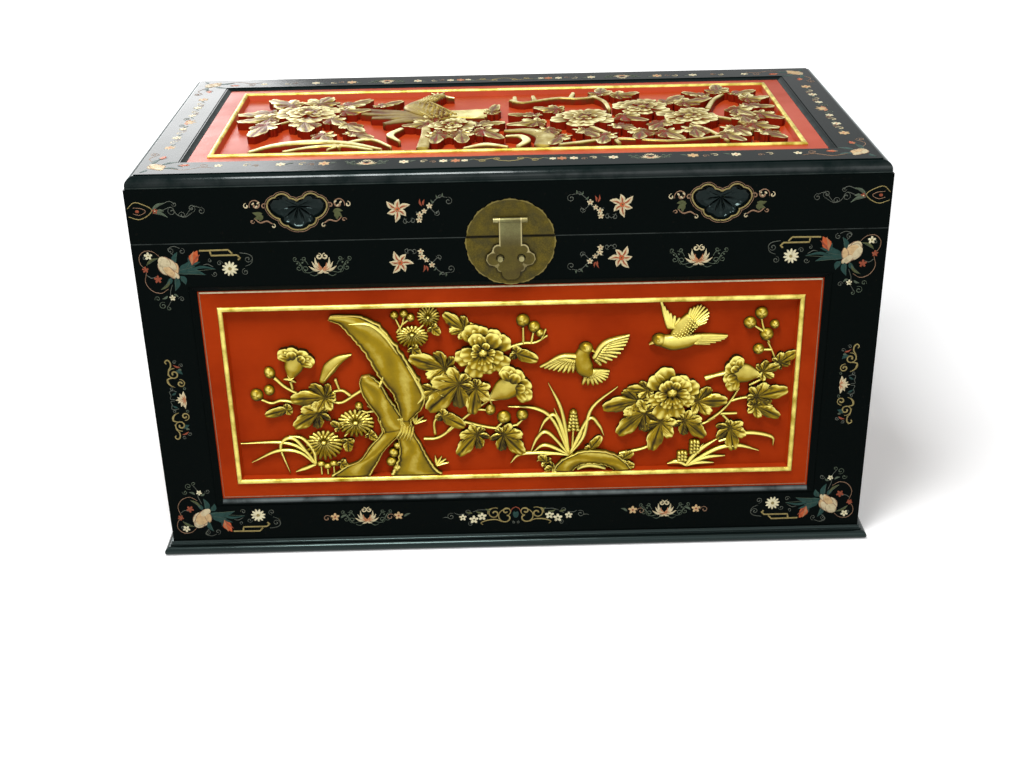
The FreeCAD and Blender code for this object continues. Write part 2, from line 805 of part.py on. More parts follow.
def lock_disc():
    """A round plate with an edge of bracket lobes: sharp tips, round shoulders and shallow notches."""
    radius, notch = float(S.lock_radius), float(S.lock_notch)
    step = 2 * math.pi / LOCK_LOBES
    places = [((lobe + turn) * step, radius - notch * drop)
              for lobe in range(LOCK_LOBES) for turn, drop in LOCK_LOBE]
    ring = [Vector(r * math.sin(turn), r * math.cos(turn), 0) for turn, r in places]
    return closed_face(ring).extrude(Vector(0, 0, float(S.plate_thickness)))


def build_lock():
    centre = rim_level - S.lock_drop
    place = (0, -half_depth, centre)
    reach = 3 * S.lock_radius
    seam = S.lock_drop + S.lid_gap / 2
    halves = (
        ("lock_lower_plate", -reach, seam - S.plate_gap / 2, post_level, S.post_spacing / 2),
        ("lock_upper_plate", seam + S.plate_gap / 2, reach, pivot_level, eye_offset),
    )
    for label, low, high, level, offset in halves:
        disc = solid(label + "_disc", lock_disc())
        window = span(label + "_window", (-reach, low, -1), (reach, high, S.plate_thickness + 1))
        half = doc.addObject("Part::Common", label + "_half")
        half.Base = disc
        half.Tool = window
        holes = [
            shank_hole(label + "_hole", sign * offset, level - centre, dim(-1), S.plate_thickness + 1)
            for sign in (-1, 1)
        ]
        keep(cut(label, half, holes), label, (place, UPRIGHT))


def clenched_shank(name, x, level):
    """A square shank from the plate face through the wall, clenched over on the inside."""
    half, spread = S.shank_width / 2, S.clench_width / 2
    inner = -half_depth + S.wall
    shank = span(name + "_shank", (x - half, -plate_face, level - half), (x + half, inner, level + half))
    clench = span(name + "_clench", (x - spread, inner, level - half),
                  (x + spread, inner + S.clench_thickness, level + half))
    return [shank, clench]


def build_posts():
    """Padlock posts: round studs on the lower plate, cross bored in front of the hasp."""
    length = post_end - plate_face
    posts = []
    for sign in (-1, 1):
        x = sign * S.post_spacing / 2
        stem = rod("post_stem", S.post_radius, length, (x, -plate_face, post_level), UPRIGHT)
        reach = 4 * S.post_radius
        bore = rod("post_bore", S.post_bore, reach, (x - reach / 2, -post_bore_line, post_level), ACROSS_X)
        blank = fuse("post_blank", [stem] + clenched_shank("post", x, post_level))
        posts.append(cut("post", blank, [bore]))
    keep(group("padlock_posts", posts), "padlock_posts")


def build_eyes():
    """Two barrel eyes on clenched shanks that hold the hasp pin in front of the upper plate."""
    eyes = []
    for sign in (-1, 1):
        x = sign * eye_offset
        start = x - S.eye_width / 2
        drum = rod("eye_drum", eye_radius, S.eye_width, (start, -pivot_line, pivot_level), ACROSS_X)
        half = S.shank_width / 2
        neck = span("eye_neck", (x - half, -pivot_line, pivot_level - half),
                    (x + half, -plate_face, pivot_level + half))
        bore = rod("eye_bore", S.hasp_pin_radius, S.eye_width, (start, -pivot_line, pivot_level), ACROSS_X)
        blank = fuse("eye_blank", [drum, neck] + clenched_shank("eye", x, pivot_level))
        eyes.append(cut("eye", blank, [bore]))
    keep(group("hasp_eyes", eyes), "hasp_eyes")
    half = eye_offset + S.eye_width / 2
    pin = rod("hasp_pin", S.hasp_pin_radius, 2 * half, (-half, -pivot_line, pivot_level), ACROSS_X)
    keep(pin, "hasp_pin")


HASP_HALF_OUTLINE = (
    # corners of the cloud plate as shares of half width and of the drop below the barrel, with bulges
    ((0.45, 0.41), 0.24), ((0.72, 0.50), 0.10), ((0.74, 0.53), 0.48), ((0.64, 0.77), 0.10),
    ((0.56, 0.80), 0.22), ((0.36, 0.87), 0.28), ((0.00, 1.00), 0.00),
)
HASP_STEPS = 4


def hasp_leaf():
    """The flat of the hasp hanging from its barrel: a strap that opens into a cloud plate."""
    half, drop = float(S.hasp_width) / 2, float(S.hasp_length)
    strap, thickness = float(S.hasp_strap) / 2, float(S.hasp_thickness)
    cloud = lobed_half(HASP_HALF_OUTLINE, half, -drop, HASP_STEPS)
    neck = [Vector(strap, 0, 0)]
    if abs(cloud[0].x - strap) > 1e-6:
        neck.append(Vector(strap, cloud[0].y, 0))
    right = neck + cloud
    leaf = closed_face(right + [Vector(-p.x, p.y, 0) for p in right[-2::-1]]).extrude(Vector(0, 0, thickness))
    leaf.translate(Vector(0, 0, -thickness / 2))
    return leaf


def build_hasp():
    leaf = solid("hasp_leaf", hasp_leaf())
    barrel = rod("hasp_barrel", S.barrel_radius, S.hasp_strap, (-S.hasp_strap / 2, 0, 0), ACROSS_X)
    bore = rod("hasp_bore", S.hasp_pin_radius + S.running_clearance, S.hasp_strap + 2,
               (-S.hasp_strap / 2 - 1, 0, 0), ACROSS_X)
    holes = [
        rod("hasp_hole", S.hasp_hole, 2 * S.hasp_thickness,
            (sign * S.post_spacing / 2, -S.post_drop, -S.hasp_thickness))
        for sign in (-1, 1)
    ]
    item = cut("hasp", fuse("hasp_blank", [leaf, barrel]), [bore] + holes)
    keep(item, "hasp", ((0, -pivot_line, pivot_level), UPRIGHT))


# Carved relief: outlines drawn about the middle of the panel, raised in two steps from the ground
THIN_END = 2


def stroke(path, widths):
    """A tapering limb along a path, as a closed outline, its end drawn to a point where it is thin."""
    left, right = [], []
    for number, (x, y) in enumerate(path):
        before = path[max(number - 1, 0)]
        after = path[min(number + 1, len(path) - 1)]
        way = Vector(after[0] - before[0], after[1] - before[1], 0).normalize()
        share = number / (len(path) - 1) * (len(widths) - 1)
        low = int(min(share, len(widths) - 2))
        width = widths[low] + (widths[low + 1] - widths[low]) * (share - low)
        left.append((x - way.y * width / 2, y + way.x * width / 2))
        right.append((x + way.y * width / 2, y - way.x * width / 2))
    if widths[-1] <= THIN_END:
        left[-1] = path[-1]
        right.pop()
    return left + right[::-1]


def leaf(base, tip, width):
    """A pointed leaf from base to tip, widest before its middle."""
    root = Vector(base[0], base[1], 0)
    way = Vector(tip[0] - base[0], tip[1] - base[1], 0)
    side = Vector(-way.y, way.x, 0).normalize() * (width / 2)
    belly = root + way * 0.42
    return [(p.x, p.y) for p in (root, belly - side, root + way, belly + side)]


def rosette(centre, radius, lobes, depth=0.2, points=2):
    """A round blossom with a waved edge."""
    count = lobes * points
    turns = [2 * math.pi * k / count for k in range(count)]
    waves = [radius * (1 - depth + depth * abs(math.cos(lobes * turn / 2))) for turn in turns]
    return [(centre[0] + r * math.cos(turn), centre[1] + r * math.sin(turn)) for turn, r in zip(turns, waves)]


class Relief:
    """Outlines for one carved field, fitted to the ground they stand on."""

    def __init__(self, name, place, sight, centre, face, drawn):
        self.name = name
        self.place = place
        ground = ground_size(sight)
        self.scale = [(float(side) - 2 * float(S.relief_margin)) / size for side, size in zip(ground, drawn)]
        self.centre = centre
        self.level = face - S.ground_depth
        self.low = []
        self.high = []

    def limb(self, path, widths, ridge=True):
        self.low.append(stroke(path, widths))
        if ridge:
            self.high.append(stroke(path, [width * 0.5 for width in widths]))

    def bloom(self, centre, radius, lobes):
        self.low.append(rosette(centre, radius, lobes))
        self.high.append(rosette(centre, radius * 0.55, 6, 0.0, 1))

    def buds(self, places):
        for x, y, radius in places:
            self.low.append(rosette((x, y), radius, 6, 0.0, 1))

    def leaves(self, strokes):
        for base, tip, width in strokes:
            self.low.append(leaf(base, tip, width))

    def blades(self, root, tips, width=6):
        for bend, tip in tips:
            self.limb([root, bend, tip], [width, width * 0.9, 2], False)

    def raise_outlines(self, outlines, low, high):
        """Join the outlines in the plane and pad them between two heights."""
        faces = []
        for points in outlines:
            ring = [Vector(x * self.scale[0], y * self.scale[1], low) for x, y in points]
            faces.append(Part.Face(Part.makePolygon(ring + ring[:1])))
        joined = Part.Shell(faces[0].multiFuse(faces[1:]).Faces).removeSplitter()
        return [face.extrude(Vector(0, 0, high - low)) for face in joined.Faces]

    def build(self):
        low, high = float(S.relief_low), float(S.relief_high)
        base = self.raise_outlines(self.low, 0, low)
        crown = self.raise_outlines(self.high, low, low + high)
        item = solid(self.name + "_solids", Part.Compound(base + crown))
        keep(item, self.name, (on_face(self.place, self.centre, self.level), self.place[1]))


def front_sight():
    return (S.chest_width - 2 * S.front_stile, S.body_height - S.top_rail - S.bottom_rail)


def carve_front():
    """Old tree, peonies, chrysanthemums, orchid grass and two birds."""
    sight = front_sight()
    relief = Relief("front_carving", FRONT, sight, S.bottom_rail + sight[1] / 2, -panel_set, (788, 262))
    relief.limb([(-246, 119), (-208, 111), (-188, 80), (-168, 44), (-153, 6), (-150, -26)],
                [10, 20, 24, 30, 34])
    relief.limb([(-202, 24), (-197, -1), (-188, -32), (-168, -62)], [14, 22, 24])
    relief.limb([(-150, -26), (-160, -58), (-190, -78), (-212, -98), (-234, -112)], [30, 26, 24, 38])
    relief.limb([(-168, -62), (-148, -70), (-135, -96), (-128, -124)], [24, 26, 26, 36])
    for centre, radius, lobes in (
        ((-43, 64), 40, 7), ((222, -8), 34, 7), ((-270, -84), 22, 8), ((-225, -48), 24, 8),
        ((-114, 115), 14, 8), ((-137, 84), 19, 8), ((-297, 58), 22, 5), ((2, 8), 30, 5), ((320, 20), 34, 5),
    ):
        relief.bloom(centre, radius, lobes)
    relief.buds((
        (-337, 36, 8), (-358, 4, 9), (-340, 8, 8), (15, 107, 9), (29, 96, 8), (-15, -44, 9), (12, -41, 8),
        (340, 109, 9), (326, 94, 9), (347, 76, 10), (340, 54, 8), (257, -93, 11),
    ))
    relief.leaves((
        ((-268, 24), (-222, 62), 22), ((-306, -20), (-250, 8), 30), ((-300, -42), (-262, -28), 26),
        ((-345, -30), (-305, -14), 14), ((-252, -52), (-262, -42), 16), ((-70, 92), (-72, 122), 26),
        ((-80, 36), (-126, 54), 34), ((-64, 6), (-120, -6), 40), ((-70, -56), (-122, -34), 26),
        ((-34, -70), (-80, -90), 30), ((-20, -58), (12, -94), 28), ((4, 70), (30, 46), 22),
        ((190, -12), (140, -24), 34), ((200, -40), (150, -56), 30), ((230, -40), (190, -98), 34),
        ((250, -20), (300, -26), 34), ((262, -46), (250, -86), 28), ((306, -40), (318, -92), 28),
        ((330, -10), (372, -28), 30), ((352, 20), (386, 44), 24), ((290, 18), (262, 40), 22),
    ))
    relief.limb([(-205, 4), (-230, -6), (-262, -6), (-305, -12), (-350, -8)], [10, 7, 6], False)
    relief.limb([(-140, -72), (-105, -69), (-80, -52), (-45, -20), (-24, -6)], [10, 8, 7], False)
    relief.limb([(-80, -52), (-50, -58), (-12, -56)], [7, 6], False)
    relief.limb([(-10, 66), (25, 72), (52, 88)], [8, 6], False)
    relief.limb([(70, -112), (100, -106), (140, -112), (165, -124)], [26, 30, 26, 12])
    relief.limb([(160, -110), (200, -92), (270, -58), (305, -26), (350, 4), (372, 30)], [9, 8, 7], False)
    relief.limb([(330, 20), (344, 60), (334, 104)], [7, 6], False)
    relief.limb([(83, -66), (83, -40)], [14, 20])
    relief.blades((80, -100), (((66, -30), (48, 9)), ((40, -40), (-8, -26)), ((52, -72), (22, -98)),
                               ((40, -102), (-6, -116)), ((110, -40), (146, 1)), ((110, -80), (130, -74))))
    relief.blades((-283, -108), (((-330, -84), (-390, -72)), ((-330, -104), (-376, -100)),
                                 ((-302, -118), (-324, -124))))
    relief.blades((245, -122), (((270, -106), (292, -84)), ((300, -112), (352, -102)),
                                ((320, -80), (370, -96))))
    relief.limb([(104, 70), (98, 42), (112, 8)], [22, 26, 34])
    relief.leaves((((96, 46), (32, 40), 26), ((100, 46), (164, 82), 28)))
    relief.limb([(192, 68), (214, 72), (240, 74), (298, 72)], [14, 24, 26, 14])
    relief.leaves((((232, 76), (256, 122), 32), ((220, 80), (204, 130), 24)))
    relief.build()


def carve_lid():
    """Long-tailed birds among peonies, leaves and twisting branches."""
    sight = (S.chest_width - 2 * S.lid_frame, S.chest_depth - 2 * S.lid_frame)
    relief = Relief("lid_carving", LID, sight, dim(0), -S.lid_panel_set, (800, 316))
    for centre, radius, lobes in (
        ((-295, 60), 52, 8), ((205, 50), 46, 8), ((115, -5), 36, 7), ((268, -22), 38, 7), ((-62, -34), 30, 7),
        ((-330, -70), 30, 6), ((345, 104), 26, 6),
    ):
        relief.bloom(centre, radius, lobes)
    relief.leaves((
        ((-340, 40), (-392, 20), 40), ((-330, 104), (-384, 140), 40), ((-256, 104), (-212, 142), 40),
        ((-244, 40), (-200, 20), 40), ((-300, 6), (-262, -30), 40), ((-350, -10), (-388, -40), 34),
        ((-300, -84), (-240, -120), 34), ((-360, -90), (-392, -130), 30), ((-40, -70), (10, -100), 36),
        ((-96, -60), (-140, -86), 34), ((60, -100), (110, -140), 38), ((150, -60), (200, -110), 40),
        ((160, 84), (120, 120), 36), ((252, 80), (300, 120), 40), ((306, 10), (372, 22), 44),
        ((300, -60), (360, -92), 44), ((240, -66), (280, -130), 40), ((320, 60), (388, 66), 36),
        ((330, -110), (390, -146), 32), ((40, 30), (0, 60), 34), ((70, -40), (30, -60), 30),
    ))
    relief.limb([(-105, 128), (-112, 96), (-134, 56), (-150, 20)], [22, 40, 52, 40])
    relief.leaves((((-120, 70), (-40, 110), 44), ((-140, 50), (-222, 70), 42), ((-150, 30), (-196, -50), 36),
                   ((-140, 20), (-150, -60), 30)))
    relief.limb([(-370, -112), (-280, -140), (-180, -136), (-110, -120), (-30, -126), (30, -140)],
                [10, 12, 12, 10], False)
    relief.limb([(20, -130), (52, -90), (40, -40), (70, 0)], [16, 14, 12], False)
    relief.limb([(-10, 140), (40, 110), (90, 122), (150, 100), (190, 76)], [12, 14, 12], False)
    relief.limb([(230, -60), (220, -110), (180, -146)], [10, 12, 14], False)
    relief.limb([(300, -20), (336, 30), (340, 90)], [9, 9], False)
    relief.buds(((20, 96, 12), (66, 70, 12), (-20, 40, 12), (380, -20, 11), (-200, -90, 11)))
    relief.build()


def carve_ends():
    """A peony spray with leaves and buds on each end."""
    sight = (end_width - 2 * end_stile, front_sight()[1])
    for name, place in (("left_end_carving", LEFT), ("right_end_carving", RIGHT)):
        relief = Relief(name, place, sight, S.bottom_rail + sight[1] / 2, -panel_set, (306, 262))
        relief.bloom((6, 34), 46, 8)
        relief.bloom((-74, -34), 30, 7)
        relief.bloom((86, -50), 26, 7)
        relief.limb([(-30, -124), (-16, -84), (4, -40), (8, 0)], [22, 14, 10])
        relief.limb([(-18, -84), (-52, -62), (-72, -40)], [10, 7], False)
        relief.limb([(0, -50), (44, -58), (84, -52)], [9, 7], False)
        relief.limb([(20, 66), (60, 92), (96, 96)], [8, 6], False)
        relief.limb([(-20, 66), (-66, 84), (-104, 78)], [8, 6], False)
        relief.leaves((
            ((-34, 40), (-92, 56), 36), ((48, 30), (112, 44), 38), ((-36, 10), (-120, 4), 38),
            ((46, 4), (128, -6), 38), ((-90, -60), (-134, -96), 32), ((-58, -62), (-78, -112), 30),
            ((100, -74), (136, -106), 30), ((66, -70), (52, -112), 32), ((0, 80), (-14, 122), 30),
            ((34, 74), (44, 122), 28),
        ))
        relief.buds(((-112, 82, 13), (104, 98, 13)))
        relief.build()


def build_all():
    build_plinth()
    build_floor()
    build_faces()
    build_back()
    build_lid_boards()
    build_lid_top()
    build_hinges()
    build_lock()
    build_posts()
    build_eyes()
    build_hasp()
    carve_front()
    carve_lid()
    carve_ends()
    doc.recompute()


def check_and_write():
    """Stop on any failed object, then write one file per sub-part."""
    for item in doc.Objects:
        if "Invalid" in item.State or "Error" in item.State:
            raise RuntimeError(f"{item.Name} ({item.Label}) failed: {item.State}")
    os.makedirs("parts", exist_ok=True)
    for item in parts:
        shape = item.Shape
        if shape.isNull() or not shape.isValid() or not shape.Solids:
            raise RuntimeError(f"{item.Label} has no valid solid")
        shape.exportStep(os.path.join("parts", item.Label + ".step"))
    print(f"{len(parts)} sub-parts written")


build_all()
check_and_write()
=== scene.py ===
"""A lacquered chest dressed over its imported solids: carved gilt panels, painted borders, a brass lock."""
import json
import logging
import math
from dataclasses import dataclass, field
from enum import Enum
from typing import Sequence

import bpy
import numpy as np
from mathutils import Matrix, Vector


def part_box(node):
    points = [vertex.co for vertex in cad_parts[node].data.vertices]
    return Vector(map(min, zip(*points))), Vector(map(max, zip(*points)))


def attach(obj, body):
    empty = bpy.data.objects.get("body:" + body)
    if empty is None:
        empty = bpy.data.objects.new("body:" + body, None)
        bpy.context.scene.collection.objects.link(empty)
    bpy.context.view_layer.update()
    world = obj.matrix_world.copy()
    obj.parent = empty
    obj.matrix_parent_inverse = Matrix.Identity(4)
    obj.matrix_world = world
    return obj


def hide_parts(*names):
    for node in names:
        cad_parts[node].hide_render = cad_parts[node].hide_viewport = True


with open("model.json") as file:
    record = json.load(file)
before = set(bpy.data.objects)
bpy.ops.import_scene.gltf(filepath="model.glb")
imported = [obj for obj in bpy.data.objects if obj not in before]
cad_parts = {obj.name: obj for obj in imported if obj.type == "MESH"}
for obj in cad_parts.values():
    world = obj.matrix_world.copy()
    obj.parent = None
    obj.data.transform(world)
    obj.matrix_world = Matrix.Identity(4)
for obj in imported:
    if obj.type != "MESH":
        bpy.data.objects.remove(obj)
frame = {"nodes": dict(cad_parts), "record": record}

LOG = logging.getLogger("lacquered_chest")
Array = np.ndarray
Point = Sequence[float]
Line = Sequence[Point]
Triple = tuple[float, float, float]
Object = bpy.types.Object
Node = bpy.types.Node
Socket = bpy.types.NodeSocket
Sockets = bpy.types.bpy_prop_collection
Tree = bpy.types.NodeTree
MM = 0.001
# Millimetres: the upright wall that carved heights are given for, and how far shells go into their ground.
WALL = 2.2
SUNK = -0.3


# Faces and shells
@dataclass(frozen=True)
class Plane:
    """A face of the chest, as an origin in millimetres and its right, up and outward directions."""

    origin: Triple
    right: Triple
    up: Triple
    out: Triple

    def lift(self, flat: Array) -> Array:
        """Turn face coordinates (right, up, out) in millimetres into the chest's frame in metres."""
        return (np.array(self.origin) + flat @ np.array([self.right, self.up, self.out], dtype=float)) * MM


@dataclass(frozen=True)
class Turnover:
    """Where a motif lands on its face: mirrored or not, then shifted."""

    across: int = 1
    upright: int = 1
    shift: Point = (0.0, 0.0)


@dataclass(frozen=True)
class Motif:
    """A motif's own measure: its middle, and how far one step goes across and up."""

    at: Point
    across: float = 1.0
    up: float = 1.0

    def spot(self, across: float, up: float) -> Point:
        """A place in the motif."""
        return self.at[0] + self.across * across, self.at[1] + self.up * up

    def path(self, points: Line) -> Line:
        """A line in the motif."""
        return [self.spot(*point) for point in points]


class Tint(Enum):
    """Colours of the painted borders, and plain white where a tone decides."""

    PLAIN = (1.0, 1.0, 1.0)
    GOLD = (0.27, 0.215, 0.080)
    TAN = (0.25, 0.150, 0.090)
    CREAM = (0.55, 0.47, 0.29)
    WHITE = (0.68, 0.63, 0.42)
    PEACH = (0.42, 0.17, 0.075)
    BLUSH = (0.55, 0.38, 0.19)
    BRICK = (0.26, 0.062, 0.030)
    ORANGE = (0.47, 0.095, 0.030)
    LEAF = (0.014, 0.047, 0.040)
    OLIVE = (0.075, 0.085, 0.034)
    SAGE = (0.075, 0.098, 0.065)
    SLATE = (0.090, 0.100, 0.080)


PLAIN, GOLD, TAN, CREAM, WHITE, PEACH, BLUSH, BRICK, ORANGE, LEAF, OLIVE, SAGE, SLATE = Tint


def smooth_path(points: Line, count: int) -> Array:
    """Carry a smooth line through points: each span is the cubic that leaves its ends along their
    neighbours.

    Args:
        points: Points to pass through.
        count: How many samples to take.

    Returns:
        The sampled line.
    """
    knots = np.asarray(points, dtype=float)
    padded = np.vstack([2 * knots[0] - knots[1], knots, 2 * knots[-1] - knots[-2]])
    place = np.linspace(0, len(knots) - 1, count)
    span = np.minimum(place.astype(int), len(knots) - 2)
    share = (place - span)[:, None]
    a, b, c, d = (padded[span + step] for step in range(4))
    bend = (2 * a - 5 * b + 4 * c - d) * share ** 2 + (3 * b - a - 3 * c + d) * share ** 3
    return 0.5 * (2 * b + (c - a) * share + bend)


def straight_path(points: Line, count: int) -> Array:
    """Sample straight runs between points, a number of samples in each run and one on every corner."""
    place = np.linspace(0, len(points) - 1, (len(points) - 1) * count + 1)
    return np.stack(
        [np.interp(place, np.arange(len(points)), axis) for axis in np.transpose(points)], axis=1)


def spread(values: Sequence[float], count: int) -> Array:
    """Spread a few values evenly over a number of samples, straight between them."""
    return np.interp(np.linspace(0, 1, count), np.linspace(0, 1, len(values)), values)


def unit(vectors: Array) -> Array:
    """Give vectors the length one."""
    return vectors / np.maximum(np.linalg.norm(vectors, axis=-1, keepdims=True), 1e-9)


def heading(angle: Array | float) -> Array:
    """Directions on a face at angles in radians against the clock."""
    return np.stack([np.cos(angle), np.sin(angle)], axis=-1)


def right_of(way: Array) -> Array:
    """Directions a quarter turn to the right."""
    return np.stack([way[..., 1], -way[..., 0]], axis=-1)


def once_round(count: int, start: float = 0.0) -> Array:
    """Angles once round in even steps, as one row."""
    return np.linspace(start, start + 2 * math.pi, count, endpoint=False)[None]


def turned(flat: Array, angle: float) -> Array:
    """Turn points of the face about its origin, angle in radians against the clock."""
    way = heading(angle)
    return flat @ np.stack([way, -right_of(way)])


@dataclass
class Shells:
    """Closed shells of one piece in face coordinates: stacks of rings that end in a point at both ends."""

    turnover: Turnover = Turnover()
    points: list[Array] = field(default_factory=list)
    quads: list[Array] = field(default_factory=list)
    fans: list[Array] = field(default_factory=list)
    tones: list[Array] = field(default_factory=list)
    tints: list[Array] = field(default_factory=list)
    count: int = 0

    def add(self, flat: Array, height: Array, ends: Line, tone: Array, tint: Tint = PLAIN) -> None:
        """Add one shell.

        Args:
            flat: Points on the face as (ring, place, 2), each ring against the clock seen from its start.
            height: Height of each point over the face.
            ends: The points that close the first and the last ring.
            tone: Painted shade and highlight of each point, 0 in a crevice and 1 on a crown.
            tint: Colour of the shell.
        """
        rows, columns = flat.shape[:2]
        height, tone = np.broadcast_to(height, (rows, columns)), np.broadcast_to(tone, (rows, columns))
        rings = np.concatenate([flat, height[..., None]], axis=-1)
        across, upright = self.turnover.across, self.turnover.upright
        if across * upright < 0:
            rings, tone = rings[:, ::-1], tone[:, ::-1]
        corners = np.vstack([rings.reshape(-1, 3), *ends]) * (across, upright, 1) + (*self.turnover.shift, 0)
        index = self.count + np.arange(rows * columns).reshape(rows, columns)
        following = np.roll(index, -1, axis=1)
        first = np.full(columns, self.count + rows * columns)
        self.quads.append(np.stack(
            [index[:-1], index[1:], following[1:], following[:-1]], -1).reshape(-1, 4))
        self.fans.append(np.stack([first, index[0], following[0]], -1))
        self.fans.append(np.stack([first + 1, following[-1], index[-1]], -1))
        self.points.append(corners)
        self.tones.append(np.concatenate([tone.ravel(), [tone[0].mean(), tone[-1].mean()]]))
        self.tints.append(np.tile((*tint.value, 1.0), (len(corners), 1)))
        self.count += len(corners)

    def piece(self, name: str, plane: Plane, body: str, slot: str, slope: float = 0.0) -> Object:
        """Make the gathered shells one object that rides on a body. The tone gets painted light from above:
        it is scaled by the normal's share of the face's up direction, lighter up the face and darker down
        it.

        Args:
            name: Name of the piece.
            plane: Face that carries it.
            body: Body it rides on.
            slot: The record's material slot.
            slope: How far the tone follows the slope, as painted light from above.

        Returns:
            The new object.
        """
        mesh = bpy.data.meshes.new(name)
        faces = np.concatenate(self.quads).tolist() + np.concatenate(self.fans).tolist()
        mesh.from_pydata(plane.lift(np.concatenate(self.points)), [], faces)
        normals = np.zeros(3 * self.count)
        mesh.vertex_normals.foreach_get("vector", normals)
        # painted light from above: the normal's share of the face's up direction lightens or darkens the
        # tone
        rise = normals.reshape(-1, 3) @ np.array(plane.up, dtype=float)
        tone = np.clip(np.concatenate(self.tones) * (1 + slope * rise), 0, 1)
        mesh.attributes.new("tone", "FLOAT", "POINT").data.foreach_set("value", tone)
        tint = mesh.color_attributes.new("tint", "FLOAT_COLOR", "POINT")
        tint.data.foreach_set("color", np.concatenate(self.tints).ravel())
        mesh.shade_smooth()
        mesh.set_sharp_from_angle(angle=math.radians(48))
        mesh.update()
        item = bpy.data.objects.new(name, mesh)
        bpy.context.scene.collection.objects.link(item)
        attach(item, body)
        LOG.info("%s: %d faces on %s", name, len(mesh.polygons), body)
        return item


